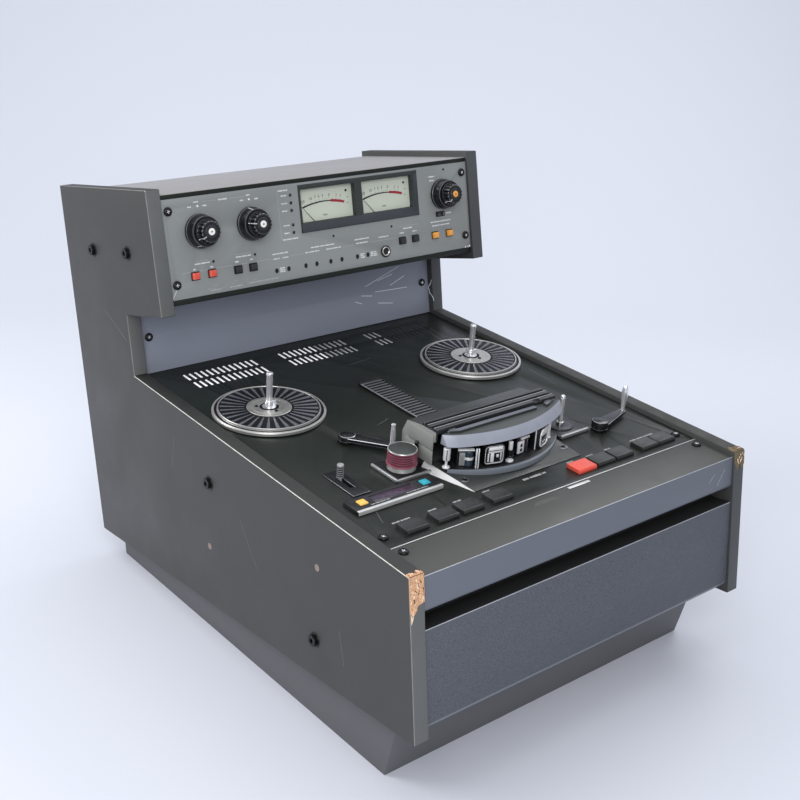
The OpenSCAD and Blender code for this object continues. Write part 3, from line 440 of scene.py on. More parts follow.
def finish(name, colour, rough, metallic=0.0, cloud=(60.0, 0.12), grain=(0.8, 0.03),
           stretch=(1.0, 1.0, 1.0), rough_play=0.08, edge_wear_and_glint=None, edge_wear_and_glint_mm=0.7, speck=None,
           speck_mm=1.2, fleck=0.0, **sockets):
    """Surface whose colour drifts in soft clouds, with fine relief, broken gloss, flecks, specks and paler edges,
    which stand for wear on some finishes and are painted glints on others. cloud is a size in mm and a strength,
    grain a size and a relief in mm."""
    (cloud_mm, drift_by), (grain_mm, relief) = cloud, grain
    material = bpy.data.materials.new(name)
    material.use_nodes = True
    tree = material.node_tree
    tree.nodes.clear()
    shader = put(tree, "BsdfPrincipled", {"Metallic": metallic, **sockets})
    put(tree, "OutputMaterial", {"Surface": shader.outputs[0]})
    where = put(tree, "TexCoord").outputs["Object"]
    base = Vector(linear(colour) if isinstance(colour, str) else colour)
    drift = put(
        tree, "TexNoise", {"Vector": where, "Scale": 1 / (cloud_mm * MM), "Detail": 5.0, "Roughness": 0.6})
    tone = put(tree, "Mix", {0: drift.outputs["Fac"], 6: (*(base * (1 - drift_by)), 1),
                             7: (*(base * (1 + drift_by)), 1)}, data_type="RGBA")
    colour_now = tone.outputs[2]
    drawn = put(tree, "Mapping", {"Vector": where, "Scale": stretch})
    texture = put(
        tree, "TexNoise", {"Vector": drawn.outputs[0], "Scale": 1 / (grain_mm * MM), "Detail": 3.0})
    if fleck:
        play = put(tree, "MapRange", {"Value": texture.outputs["Fac"], "From Min": 0.35, "From Max": 0.65,
                                      "To Min": 1 - fleck, "To Max": 1 + fleck})
        colour_now = put(tree, "VectorMath", {0: colour_now, "Scale": play.outputs[0]},
                         operation="SCALE").outputs[0]
    if speck:
        dust = put(tree, "TexNoise", {"Vector": where, "Scale": 1 / (speck_mm * MM), "Detail": 1.0})
        mask = put(tree, "MapRange", {"Value": dust.outputs["Fac"], "From Min": 0.66, "From Max": 0.78})
        colour_now = put(tree, "Mix", {0: mask.outputs[0], 6: colour_now, 7: (*linear(speck), 1)},
                         data_type="RGBA").outputs[2]
    if edge_wear_and_glint:
        bent = put(tree, "Bevel", {"Radius": edge_wear_and_glint_mm * MM}, samples=4)
        flat = put(tree, "NewGeometry").outputs["Normal"]
        match = put(tree, "VectorMath", {0: bent.outputs[0], 1: flat}, operation="DOT_PRODUCT")
        edge = put(tree, "MapRange", {"Value": match.outputs["Value"], "From Min": 0.985, "From Max": 0.9})
        broken = put(tree, "Math", {0: edge.outputs[0], 1: drift.outputs["Fac"]}, operation="MULTIPLY")
        colour_now = put(tree, "Mix", {0: broken.outputs[0], 6: colour_now, 7: (*linear(edge_wear_and_glint), 1)},
                         data_type="RGBA").outputs[2]
    gloss = put(tree, "MapRange", {"Value": drift.outputs["Fac"], "From Min": 0.3, "From Max": 0.7,
                                   "To Min": max(rough - rough_play, 0.02), "To Max": rough + rough_play})
    bump = put(tree, "Bump", {"Height": texture.outputs["Fac"], "Strength": 1.0, "Distance": relief * MM})
    for key, socket in (("Base Color", colour_now), ("Roughness", gloss.outputs[0]),
                        ("Normal", bump.outputs[0])):
        tree.links.new(socket, shader.inputs[key])
    FINISH[name] = material
    return material


def make_finishes(colours):
    """Every finish of the machine, each started from what the real surface is, some painted lighter or darker as
    light and shade.
    """
    # Melamine laminate pressed on chipboard: satin dark grey with a faint pebble
    finish("laminate_pressed", colours.laminate, 0.52, cloud=(140, 0.10), grain=(1.2, 0.06), fleck=0.06)
    # Glued edge band of the boards, trimmed flush: darker and drier than the face
    finish("laminate_edge_trimmed", "#222321", 0.6, cloud=(25, 0.16), grain=(0.7, 0.05))
    # The same band on the left panel's edges that face the front, painted lighter blue grey as light
    finish("laminate_edge_painted_lit", "#5a5c5b", 0.5, cloud=(40, 0.14), grain=(0.8, 0.06))
    # The band on the right panel's front edges, painted darker as shade
    finish("laminate_edge_painted_shade", "#424446", 0.5, cloud=(40, 0.14), grain=(0.8, 0.06))
    # Bare chipboard, broken: coarse tan flakes, some pale and some dark
    finish("chipboard_broken", "#cba07c", 0.9, cloud=(5, 0.4), grain=(1.3, 0.5), speck="#8a5836",
           speck_mm=1.2, fleck=0.25)
    finish("chipboard_broken_dark", "#6b6049", 0.9, cloud=(4, 0.5), grain=(1.6, 0.7), speck="#a58f6c",
           speck_mm=2.2)
    finish("chipboard_flake_pale", "#ecd2b8", 0.85, cloud=(3, 0.15), grain=(0.8, 0.1))
    finish("chipboard_flake_dark", "#6a4328", 0.85, cloud=(3, 0.25), grain=(0.8, 0.1))
    # Painted board of the plinth: flat dark grey, slightly dusty
    finish("board_painted", "#5c5d60", 0.62, cloud=(90, 0.12), grain=(1.1, 0.05), edge_wear_and_glint="#77767a")
    # Steel sheet, wrinkle coated: dark grain, drawn coarser than the real one so that it shows
    finish("steel_wrinkle_coated", colours.front, 0.55, cloud=(110, 0.08), grain=(1.3, 0.28),
           edge_wear_and_glint="#8b8d92", speck="#666a72", speck_mm=1.4, fleck=0.26)
    # The coating where the sheet turns under, painted lighter as a highlight along the bottom lip
    finish("steel_wrinkle_painted_highlight", "#6c7077", 0.5, cloud=(60, 0.10), grain=(1.5, 0.25), fleck=0.2)
    # Inside of the slot and the undersides of the apron, painted near black as shade
    finish("steel_slot_painted_shade", "#0c0d0e", 0.7, cloud=(60, 0.15), grain=(1.0, 0.04))
    # Paint rubbed through along a fold, and painted paler on its upward faces as a highlight
    finish("steel_fold_rubbed_and_highlit", "#a9acb3", 0.4, 0.3, cloud=(22, 0.4), grain=(0.7, 0.03))
    # Steel sheet, sprayed satin blue grey
    finish("steel_sprayed_blue_grey", colours.blue_grey, 0.45, cloud=(160, 0.07), grain=(1.4, 0.02),
           edge_wear_and_glint="#8f939c")
    # Steel deck, sprayed matt: almost black, with a soft sheen where hands have polished it
    finish("steel_sprayed_matt_black", colours.deck, 0.38, cloud=(120, 0.16), grain=(0.8, 0.03),
           speck="#363936", speck_mm=1.4, fleck=0.12,
           **{"Specular IOR Level": 0.24})
    # Flat top of the apron, sprayed black and painted greyer as a sheen of light
    finish("steel_sprayed_painted_sheen", "#393a36", 0.46, cloud=(70, 0.2), grain=(0.8, 0.03))
    # Riser behind the deck, sprayed blue grey and painted lighter as light against the overbridge's shade
    finish("steel_sprayed_riser_painted_lit", colours.riser, 0.5, cloud=(160, 0.06), grain=(1.2, 0.02))
    # Steel cover, sprayed pale grey
    finish("steel_sprayed_pale_grey", colours.cover, 0.48, cloud=(150, 0.06), grain=(1.0, 0.03))
    # Steel rear sheet, sprayed dark
    finish("steel_sprayed_dark", "#333436", 0.5, cloud=(120, 0.10), grain=(1.0, 0.03), edge_wear_and_glint="#68696c")
    # Aluminium front panel, sprayed satin grey with a green cast
    finish("aluminium_sprayed_grey", colours.panel, 0.46, cloud=(150, 0.06), grain=(0.9, 0.02))
    # ABS, moulded with a fine spark texture: black, low sheen
    finish("abs_moulded_black", "#17181a", 0.4, cloud=(30, 0.15), grain=(0.5, 0.03))
    # ABS, moulded smooth: black with clear highlights
    finish("abs_polished_black", "#101113", 0.22, cloud=(30, 0.15), grain=(0.6, 0.01))
    # ABS of the meter frame: dark green grey
    finish("abs_moulded_green_grey", "#2b302e", 0.42, cloud=(40, 0.10), grain=(0.6, 0.02))
    # Meter frame's sill and side strip, painted lighter than the frame where they take the light
    finish("abs_moulded_painted_lit", "#33373c", 0.4, cloud=(40, 0.08), grain=(0.6, 0.02))
    # Coloured keys and buttons: dyed ABS with a light gloss
    # Its pale edges are painted glints
    finish("abs_moulded_red", colours.red, 0.33, cloud=(12, 0.10), grain=(0.5, 0.02), edge_wear_and_glint="#f6b4a8",
           edge_wear_and_glint_mm=0.6)
    for name, colour, rough, cloud in (
            ("abs_moulded_orange", colours.orange, 0.35, (12, 0.08)),
            ("abs_moulded_yellow", "#eebd5c", 0.35, (12, 0.08)),
            ("abs_moulded_cyan", "#2f9fb4", 0.35, (12, 0.08)),
            ("abs_moulded_white", "#e9e8e2", 0.4, (12, 0.05)),
            ("abs_moulded_grey", "#55565a", 0.42, (15, 0.10)),
            ("abs_moulded_charcoal", "#26282a", 0.4, (15, 0.10)),
            ("abs_moulded_pale_grey", "#77797b", 0.42, (15, 0.10))):
        finish(name, colour, rough, cloud=cloud, grain=(0.5, 0.02))
    finish("abs_moulded_silver", "#9a9c9e", 0.35, 0.3, cloud=(8, 0.15), grain=(0.5, 0.02))
    # Rims of the black mouldings, paler
    finish("abs_rim_paler", "#55575a", 0.3, cloud=(5, 0.3), grain=(0.5, 0.02))
    # Aluminium bars, bead blasted: pale and soft
    finish("aluminium_bar_satin", "#c4c5c4", 0.38, 0.45, cloud=(14, 0.14), grain=(0.6, 0.02))
    # Hub discs, faced and satin
    finish("aluminium_hub_satin", "#b2b1ad", 0.36, 0.75, cloud=(16, 0.12), grain=(0.6, 0.02))
    # Aluminium, turned: bright, with rings too fine to see drawn as broken gloss
    finish("aluminium_turned", "#c2c1be", 0.32, 0.7, cloud=(30, 0.06), grain=(2.0, 0.001), rough_play=0.03)
    # Aluminium, brushed along the deck's width
    finish("aluminium_brushed", "#a9aaad", 0.34, 1.0, cloud=(25, 0.12), grain=(0.8, 0.03),
           stretch=BRUSHED)
    # Aluminium, brushed and anodised dark
    finish("aluminium_anodised_dark", "#3d3f43", 0.36, 0.7, cloud=(40, 0.12), grain=(0.8, 0.03),
           stretch=BRUSHED)
    # Aluminium, anodised blue black
    finish("aluminium_anodised_blue", "#4a5666", 0.24, 0.6, cloud=(20, 0.12), grain=(0.7, 0.02))
    # Aluminium, anodised dark red
    finish("aluminium_anodised_red", colours.roller, 0.36, 0.55, cloud=(10, 0.15), grain=(0.6, 0.02))
    # The same, painted darker in the grooves as shade
    finish("aluminium_anodised_red_painted_shade", "#3c1c25", 0.45, 0.4, cloud=(10, 0.15), grain=(0.6, 0.02))
    # Steel, chromed and polished
    finish("steel_chromed", "#d3d4d8", 0.1, 1.0, cloud=(20, 0.05), grain=(1.0, 0.004), rough_play=0.03)
    # Steel, ground and polished by the tape: bright from every side, drawn half as metal
    finish("steel_ground", "#ecedf0", 0.2, 0.72, cloud=(14, 0.08), grain=(0.6, 0.01), rough_play=0.05)
    # Head faces and guides, lapped by the tape, painted nearly white as highlight in the visor's shade
    finish("steel_lapped_painted_highlight", "#f4f4f6", 0.24, 0.35, cloud=(14, 0.06), grain=(0.6, 0.005), rough_play=0.05)
    # Steel screws, blackened: oily dark with a soft shine
    finish("steel_blackened", "#141416", 0.35, 0.5, cloud=(6, 0.2), grain=(0.5, 0.02))
    # Zinc plated steel of sockets and motors
    finish("steel_zinc_plated", "#8d8e90", 0.32, 1.0, cloud=(12, 0.12), grain=(0.7, 0.02))
    # Steel parts of the head cover, sprayed satin grey and painted lighter as light against their shade
    finish("steel_sprayed_head_grey_painted_lit", "#848783", 0.42, cloud=(60, 0.08), grain=(0.8, 0.02),
           edge_wear_and_glint="#9a9c9a")
    # Steel visor, sprayed with a lavender cast
    finish("steel_sprayed_lavender", "#9296a2", 0.4, cloud=(70, 0.06), grain=(0.8, 0.02),
           edge_wear_and_glint="#8d909b")
    # Rubber mat, moulded, and its ribs polished by reels and painted lighter grey as sheen
    finish("rubber_moulded", "#101116", 0.55, cloud=(20, 0.18), grain=(0.8, 0.04),
           **{"Specular IOR Level": 0.15})
    finish("rubber_ribs_painted_sheen", "#595b60", 0.26, cloud=(9, 0.3), grain=(0.8, 0.01))
    # Screen printed ink, slightly broken: fresh, then faded or rubbed
    for name, colour, rough, cloud in (
            ("ink_printed_white", "#dfe1e1", 0.6, (3, 0.25)),
            ("ink_printed_black", "#151515", 0.6, (3, 0.2)),
            ("ink_printed_red", "#b02a35", 0.55, (3, 0.15)),
            ("ink_printed_faint", "#a6a8a9", 0.6, (3, 0.3)),
            ("ink_printed_grey", "#8f968b", 0.6, (3, 0.2)),
            ("ink_printed_dim", "#2e322d", 0.6, (3, 0.2)),
            ("ink_printed_dim_red", "#9a5a5a", 0.6, (3, 0.2)),
            ("ink_printed_ghost", "#565954", 0.6, (3, 0.3))):
        finish(name, colour, rough, cloud=cloud, grain=(0.4, 0.01))
    # Printed card of the dials, lit from above
    finish("card_printed", "#e7eedc", 0.7, cloud=(35, 0.04), grain=(0.8, 0.01))
    # Smoked acrylic over the tape counter
    finish("acrylic_smoked", "#3d3340", 0.12, cloud=(20, 0.2), grain=(1.0, 0.003), rough_play=0.03)
    # Louvres behind the vent slots, in painted light and shade: a lit copy that glows as painted light, a half lit
    # copy and a shaded copy
    finish(
        "louvre_painted_lit", "#ffffff", 0.5, cloud=(6, 0.06), grain=(0.8, 0.02), **{"Emission Strength": 0.3})
    finish("louvre_painted_half_lit", "#b9bbbd", 0.5, cloud=(6, 0.2), grain=(0.8, 0.02))
    finish("louvre_painted_shade", "#2d2f30", 0.5, cloud=(6, 0.2), grain=(0.8, 0.02))
    # Glass fibre board, lacquered green
    finish("glassfibre_board", "#1f4a30", 0.35, cloud=(15, 0.15), grain=(0.7, 0.02))
    # Lamp lens, unlit dark red
    finish("acrylic_lamp", "#1a1516", 0.18, cloud=(5, 0.1), grain=(0.6, 0.005))
    # Rounded corner of the laminate where it faces up, rubbed pale and painted lighter as a highlight
    finish("laminate_corner_pale_and_highlit", "#c6c3bd", 0.6, cloud=(9, 0.55), grain=(0.7, 0.05))
    # The same corner where it is only rubbed
    finish("laminate_corner_rubbed", "#7b7974", 0.6, cloud=(16, 0.6), grain=(0.7, 0.05))
    # Filled screw hole in the laminate
    finish("laminate_plug_filled", "#8b7b74", 0.7, cloud=(4, 0.2), grain=(0.6, 0.05))
    # Scratches down to bare metal, and fainter ones in the paint
    finish("scratch_bare", "#eaecf0", 0.5, cloud=(5, 0.3), grain=(0.5, 0.03))
    finish("scratch_faint", "#6b6c6e", 0.55, cloud=(5, 0.3), grain=(0.5, 0.03))
    # Nickel plating, bright
    finish("nickel_plated_bright", "#dcdad4", 0.2, 1.0, cloud=(10, 0.08), grain=(0.6, 0.01))
    # Polished bright metal on bevelled edges: bare where black coating is cut back to the metal, and a painted
    # highlight on the arms' edges and hub rings
    finish("steel_edge_bare_and_highlit", "#8e9095", 0.28, 0.9, cloud=(14, 0.2), grain=(0.6, 0.02))
    # Aluminium, anodised black
    finish("aluminium_anodised_black", "#1d1e20", 0.38, 0.5, cloud=(30, 0.14), grain=(0.7, 0.03),
           stretch=BRUSHED)
    # Aluminium edging of the roller and capstan plates, handled dull
    finish("aluminium_rail_satin", "#a2a4a4", 0.36, 0.7, cloud=(30, 0.12), grain=(0.7, 0.03),
           stretch=BRUSHED)
    # Darker sprayed steel of the head base and the visor's top
    finish("steel_sprayed_head_dark", "#2b2f2d", 0.45, cloud=(60, 0.1), grain=(0.8, 0.02))
    finish("steel_sprayed_visor_top", "#303432", 0.42, cloud=(60, 0.08), grain=(0.8, 0.02))
    # Strip along the visor's hinge, sprayed slate
    finish("steel_sprayed_slate", "#51555d", 0.42, cloud=(60, 0.08), grain=(0.8, 0.02), edge_wear_and_glint="#8d909b")
    # Platform under the heads, sprayed blue grey
    finish("steel_sprayed_platform", "#6f757d", 0.42, cloud=(60, 0.08), grain=(0.8, 0.02))
    # Transport keys: black ABS, worn to a satin, their pale edges painted glints
    finish("abs_moulded_key", "#1e211f", 0.36, cloud=(14, 0.18), grain=(0.5, 0.02), edge_wear_and_glint="#4b4e4c",
           edge_wear_and_glint_mm=0.5)
    # Unlit display segments
    finish("display_unlit", "#4a3a52", 0.3, cloud=(4, 0.2), grain=(0.5, 0.005))
    # Clear acrylic window: seen only by its gloss
    clear = bpy.data.materials.new("acrylic_clear")
    clear.use_nodes = True
    shader = clear.node_tree.nodes["Principled BSDF"]
    for key, value in (("Base Color", (0.02, 0.02, 0.02, 1)), ("Roughness", 0.04), ("IOR", 1.49),
                       ("Alpha", 0.1)):
        shader.inputs[key].default_value = value
    FINISH["acrylic_clear"] = clear


# Operators, one for each piece or group of like pieces

class TAPE_OT_stage(bpy.types.Operator):
    """Floor, backdrop, lights and the camera of the photograph's view"""
    bl_idname = "tape.stage"
    bl_label = "Stage"

    def execute(self, context):
        look = context.scene.tape_stage
        scene = context.scene
        scene.view_settings.view_transform = "Standard"
        # Paper sweep, in metres: a floor, a quarter bend and a wall, turned towards the camera
        near, bend_y, bend_r, wall_top, half, facing = -3.5, 1.2, 0.9, 4.0, 4.5, -39
        part = bmesh.new()
        bend = [math.radians(5 * i) for i in range(19)]
        profile = [(near, 0.0)]
        profile += [(bend_y + bend_r * math.sin(a), bend_r - bend_r * math.cos(a)) for a in bend]
        profile += [(2.1, wall_top)]
        rows = [[part.verts.new((x, y, z)) for x in (-half, half)] for y, z in profile]
        for low, high in zip(rows, rows[1:]):
            part.faces.new((low[0], low[1], high[1], high[0]))
        bmesh.ops.rotate(
            part, cent=(0, 0, 0), matrix=Matrix.Rotation(math.radians(facing), 3, "Z"), verts=part.verts)
        mesh = bpy.data.meshes.new("studio_floor")
        part.to_mesh(mesh)
        part.free()
        mesh.shade_smooth()
        mesh.materials.append(finish("paper_backdrop", "#cdd0d9", 0.85, cloud=(900, 0.02), grain=(3, 0.02)))
        floor = bpy.data.objects.new("studio_floor", mesh)
        scene.collection.objects.link(floor)

        # Camera of the photograph, solved from the side panels' corners
        lens = bpy.data.cameras.new("photo_view")
        lens.lens, lens.sensor_width = look.lens, 36.0
        eye = bpy.data.objects.new("photo_view", lens)
        ahead = Vector((0.58375, 0.72429, -0.36693)).normalized()
        right = ahead.cross(Vector((0, 0, 1))).normalized()
        up = right.cross(ahead)
        roll = math.radians(1.28)
        right, up = (right * math.cos(roll) + up * math.sin(roll),
                     up * math.cos(roll) - right * math.sin(roll))
        turned = Matrix((right, up, -ahead)).transposed().to_4x4()
        eye.matrix_world = Matrix.Translation(look.camera_at) @ turned
        scene.collection.objects.link(eye)
        scene.camera = eye

        world = bpy.data.worlds.new("soft_room")
        world.use_nodes = True
        sky = world.node_tree.nodes["Background"].inputs
        sky["Color"].default_value, sky["Strength"].default_value = (*look.room_colour, 1), look.room_light
        scene.world = world
        for name, at, aim, size, power in (
                ("overhead_softbox", (0.1, 0.2, 2.4), (0, 0, 0.2), 2.6, look.overhead_light),
                ("front_softbox", (-1.2, -1.6, 1.4), (0, 0, 0.35), 1.2, look.front_light),
                ("right_softbox", (1.7, 0.25, 1.9), (0.1, -0.1, 0.3), 0.9, look.right_light),
                ("left_softbox", (-1.4, 1.2, 1.5), (-0.1, 0.3, 0.4), 1.2, look.left_light)):
            lamp = bpy.data.lights.new(name, "AREA")
            lamp.shape, lamp.size, lamp.energy = "SQUARE", size, power
            carrier = bpy.data.objects.new(name, lamp)
            carrier.location = at
            carrier.rotation_euler = (Vector(aim) - Vector(at)).to_track_quat("-Z", "Y").to_euler()
            scene.collection.objects.link(carrier)
        return {"FINISHED"}


class TAPE_OT_finishes(bpy.types.Operator):
    """Materials of the machine"""
    bl_idname = "tape.finishes"
    bl_label = "Finishes"

    def execute(self, context):
        make_finishes(context.scene.tape_colours)
        return {"FINISHED"}


class TAPE_OT_case(bpy.types.Operator):
    """Side panels, plinth and the folded sheets of the case"""
    bl_idname = "tape.case"
    bl_label = "Case"

    def execute(self, context):
        look = context.scene.tape_case
        for side, node in ((-1, "left_side_panel"), (1, "right_side_panel")):
            low, high = sorted((side * HALF_W, side * (HALF_W + SIDE_T)))

            def layer(centre, normal, side=side):
                if abs(normal.z) > 0.9:
                    return "laminate_pressed"
                # Corners facing up get the rubbed finish with a painted highlight
                if normal.z * side > 0.05 and normal.x < 0.3 and normal.y > -0.3:
                    edge_wear_and_glint = normal.y > 0.2 and centre.x < 560
                    return "laminate_corner_pale_and_highlit" if edge_wear_and_glint else "laminate_corner_rubbed"
                # Front edges in painted light on the left panel and painted shade on the right
                if normal.x < -0.9:
                    return "laminate_edge_painted_lit" if side < 0 else "laminate_edge_painted_shade"
                return "laminate_edge_trimmed"
            piece = Build(node + "_dressed", SIDE_VIEW)
            piece.add(prism(OUTLINE, low, high, look.panel_rounding, 3), layer)
            piece.done("side_laminate", "case", (node,))
        rounded_node("plinth", look.panel_rounding, "board_painted")

        def front_finish(centre, normal):
            # The slot's inside is painted shade
            if centre.z > SLOT_LOW - 3 and centre.y > FRONT_SET + 1:
                return "steel_slot_painted_shade"
            # Upward faces of the top fold carry a painted highlight
            if centre.z > SLOT_LOW - 3 and normal.z > 0.2:
                return "steel_fold_rubbed_and_highlit"
            # Downward faces at the front lip are painted lighter as a highlight
            under = normal.z < -0.3 and centre.y < 8
            return "steel_wrinkle_painted_highlight" if under else "steel_wrinkle_coated"
        rounded_node("front_panel", look.sheet_rounding, front_finish, local=CASE)

        # The apron is one folded sheet: flat under the deck's edge, down the front, round and back
        # into the slot
        def flange(d, h):
            return tuple((CASE.inverted() @ DECK @ Vector((0, d, h))).yz)

        def fold(h, y):
            near, far = flange(0, h), flange(58, h)
            return y, near[1] + (far[1] - near[1]) * (y - near[0]) / (far[0] - near[0])
        turn, bends = look.apron_turn, [math.radians(11.25 * i) for i in range(9)]
        sheet = [flange(58, 0), fold(0, FRONT_SET)]
        sheet += [(FRONT_SET + turn * (1 - math.cos(a)), APRON_LOW + turn * (1 - math.sin(a)))
                  for a in bends]
        sheet += [(SLOT_BACK + SHEET_T, APRON_LOW), (SLOT_BACK + SHEET_T, APRON_LOW + SHEET_T)]
        within = turn - SHEET_T
        sheet += [(FRONT_SET + turn - within * math.cos(a), APRON_LOW + turn - within * math.sin(a))
                  for a in bends[::-1]]
        sheet += [fold(-SHEET_T, FRONT_SET + SHEET_T), flange(58, -SHEET_T)]

        def apron_finish(centre, normal):
            # The flat top is painted greyer as sheen
            if normal.y > 0.9:
                return "steel_sprayed_painted_sheen"
            # Upward faces of the front fold carry a painted highlight
            if normal.y > 0.15 and centre.x < FRONT_SET + 1:
                return "steel_fold_rubbed_and_highlit"
            # Undersides are painted shade
            return "steel_slot_painted_shade" if normal.y < -0.8 else "steel_sprayed_blue_grey"
        apron = Build("front_apron_dressed", SIDE_VIEW)
        apron.add(prism(sheet, -HALF_W + 0.2, HALF_W - 0.2, 0.5, 2, 35), apron_finish)
        apron.done(SLOTS["front_apron"], "case", ("front_apron",))
        rounded_node("riser_panel", look.sheet_rounding, "steel_sprayed_riser_painted_lit")
        rounded_node("top_cover", look.sheet_rounding, "steel_sprayed_pale_grey")
        rounded_node("rear_panel", look.sheet_rounding / 2, "steel_sprayed_dark")
        rounded_node("deck_plate", look.sheet_rounding / 3, "steel_sprayed_matt_black")
        inside = {"power_and_audio_boards": "glassfibre_board", "transport_motors": "steel_zinc_plated"}
        for node, name in inside.items():
            solid = frame["nodes"][node].data
            solid.materials.clear()
            solid.materials.append(FINISH[name])
        return {"FINISHED"}


class TAPE_OT_wear(bpy.types.Operator):
    """Broken corners, plugs and scratches"""
    bl_idname = "tape.wear"
    bl_label = "Wear"

    def execute(self, context):
        look = context.scene.tape_case
        rng = random.Random(7)

        def broken(outline, cells, depth):
            """Rough patch inside an outline, thin at its rim and rising to a depth."""
            part = prism(outline, -0.4, 0.05)
            top = max(part.faces, key=lambda f: f.calc_center_median().z)
            bmesh.ops.inset_region(part, faces=[top], thickness=1.2)
            bmesh.ops.triangulate(part, faces=[f for f in part.faces if f.normal.z > 0.5])
            bmesh.ops.subdivide_edges(
                part, edges=[e for e in part.edges if all(v.co.z > 0 for v in e.verts)], cuts=cells,
                use_grid_fill=True)
            rim = {v for e in part.edges for v in e.verts if any(f.normal.z < 0.5 for f in e.link_faces)}
            for v in part.verts:
                if v.co.z > 0 and v not in rim:
                    v.co.z += rng.uniform(0.1, depth)
            return part

        def splinters(piece, count, left, right, low, high, pale=0.5):
            """Loose flakes scattered over a patch, most of them along the grain."""
            for _ in range(count):
                w, tall = rng.uniform(0.5, 1.4), rng.uniform(1.6, 5.0)
                tone = "chipboard_flake_pale" if rng.random() < pale else "chipboard_flake_dark"
                piece.add(box((-w / 2, -tall / 2, 0), (w / 2, tall / 2, 0.5), 0.15), tone,
                          shift(rng.uniform(left, right), rng.uniform(low, high), rng.uniform(0.3, 0.9),
                                rng.uniform(-35, 35)))
        # The left panel's front edge, near its top, has lost its edge band: x across the edge, y up
        chip = Build("left_panel_chipped_corner", front_face(-HALF_W - SIDE_T / 2, FRONT_H))
        half, tall = SIDE_T / 2 - 0.4, look.chip_height
        chip.add(broken([(-half, -0.5), (-half, -0.86 * tall), (-0.75 * half, -tall),
                         (-0.1 * half, -0.84 * tall), (0.05 * half, -0.74 * tall), (half, -0.7 * tall),
                         (half, -0.5)], 5, 1.0), "chipboard_broken")
        chip.add(
            prism([(-0.92 * half, -0.84 * tall), (-0.3 * half, -0.8 * tall), (-0.6 * half, -1.02 * tall),
                   (-0.88 * half, -1.15 * tall)], 0, 0.5, 0.1), "chipboard_flake_pale")
        splinters(chip, 30, -0.88 * half, 0.85 * half, -0.68 * tall, -3, 0.66)
        chip.done("side_laminate")
        for side, name, depths in ((-1, "left", (4, 8, 3.5, 7, 6)), (1, "right", (9, 13, 9.5, 15, 11))):
            top = DECK @ Matrix.Translation((side * (HALF_W + SIDE_T / 2), 0, DECK_DROP))
            chip = Build(name + "_panel_chipped_top", top)
            edge = [(half, depths[0]), (0.5 * half, depths[1]), (0.1 * half, depths[2]),
                    (-0.4 * half, depths[3]), (-half, depths[4])]
            tone = "chipboard_broken" if side < 0 else "chipboard_broken_dark"
            chip.add(broken([(-half, 0.6), (half, 0.6)] + edge, 4, 0.8), tone)
            splinters(chip, 8, -0.85 * half, 0.85 * half, 2.5, 0.6 * min(depths) + 2)
            chip.done("side_laminate")
        chip = Build("right_panel_chipped_edge", front_face(HALF_W + SIDE_T / 2, FRONT_H))
        chip.add(broken([(-half, -0.6), (-half, -13), (-0.4 * half, -23), (0.1 * half, -17),
                         (0.5 * half, -25), (half, -18), (half, -0.6)], 4, 0.8), "chipboard_broken_dark")
        splinters(chip, 16, -0.85 * half, 0.85 * half, -15, -3, 0.6)
        chip.done("side_laminate")

        plugs = Build("side_panel_plugs")
        for side in (-1, 1):
            for y, z in ((395, 86), (158, 141)):
                plug = lathe([(4.2, -0.2), (4.2, 0.1), (3.9, 0.3), (2.6, 0.15), (0, 0.1)], 24)
                plugs.add(plug, "laminate_plug_filled", outer_face(side, y, z))
        plugs.done("side_laminate")

        marks = Build("scratches")
        for x, s, length, turn in ((155, 68.5, 68, 18), (159.4, 66.2, 29, 12), (170.3, 46.4, 60, -2),
                                   (108.8, 36.2, 13, -22), (158.2, 27.9, 28, -9.5), (124.1, 44.1, 20, -9),
                                   (182, 58, 30, 20)):
            marks.add(slab(length, 0.75, 0.0, 0.05), "scratch_bare", RISER @ shift(x, s, 0, turn))
        for x, d, length, turn in ((-205, 120, 34, 70), (-60, 300, 26, 20), (30, 470, 40, 8),
                                   (215, 300, 60, 84)):
            marks.add(slab(length, 0.4, 0.0, 0.04), "scratch_faint", DECK @ shift(x, d, 0, turn))
        for y, z, length, turn in ((300, 120, 60, 30), (470, 190, 46, -18), (120, 60, 40, 8),
                                   (600, 330, 70, 62)):
            marks.add(slab(length, 0.5, 0.0, 0.05), "scratch_faint", outer_face(-1, y, z) @ spun(turn))
        for x, z, length, turn in ((203, 162, 14, 40), (220, 159, 22, 52)):
            place = front_face(x, z, FRONT_SET) @ spun(turn)
            marks.add(slab(length, 0.22, 0.0, 0.04), "scratch_bare", place)
        # A curl of torn laminate on the right panel's inner face, and flakes at the lower end of the
        # electronics panel
        tear = [(562.8, 315.8), (565.7, 309.5), (571.4, 303.8), (567.2, 294.9), (561.0, 289.8),
                (558.6, 284.1)]
        flat_on = Matrix(((0, 0, -1, 0), (1, 0, 0, 0), (0, 1, 0, 0), (0, 0, 0, 1)))
        inner = CASE @ Matrix.Translation((HALF_W, 0, 0)) @ flat_on
        for (y, z), (far_y, far_z) in zip(tear, tear[1:]):
            turn = math.degrees(math.atan2(far_z - z, far_y - y))
            length = math.hypot(far_y - y, far_z - z) + 0.4
            place = inner @ shift((y + far_y) / 2, (z + far_z) / 2, 0, turn)
            marks.add(slab(length, 1.2, -0.1, 0.35, 0.1), "scratch_bare", place)
        for x, s, w, tall in ((231.6, 18.6, 3.2, 1.3), (236.2, 18.2, 1.6, 1.8), (239.4, 19.0, 2.2, 2.6)):
            marks.add(slab(w, tall, 0.0, 0.08), "scratch_bare", panel(x, s, 0, 20 * w))
        marks.add(slab(17, 0.5, 0.0, 0.05), "scratch_bare", panel(-236.4, 25, 0, 56))
        for _ in range(11):
            place = panel(rng.uniform(-214, -118), rng.uniform(19.5, 29), 0, rng.uniform(-14, 40))
            marks.add(slab(rng.uniform(4, 13), 0.3, 0.0, 0.04), "ink_printed_faint", place)
        marks.done("side_laminate")
        return {"FINISHED"}


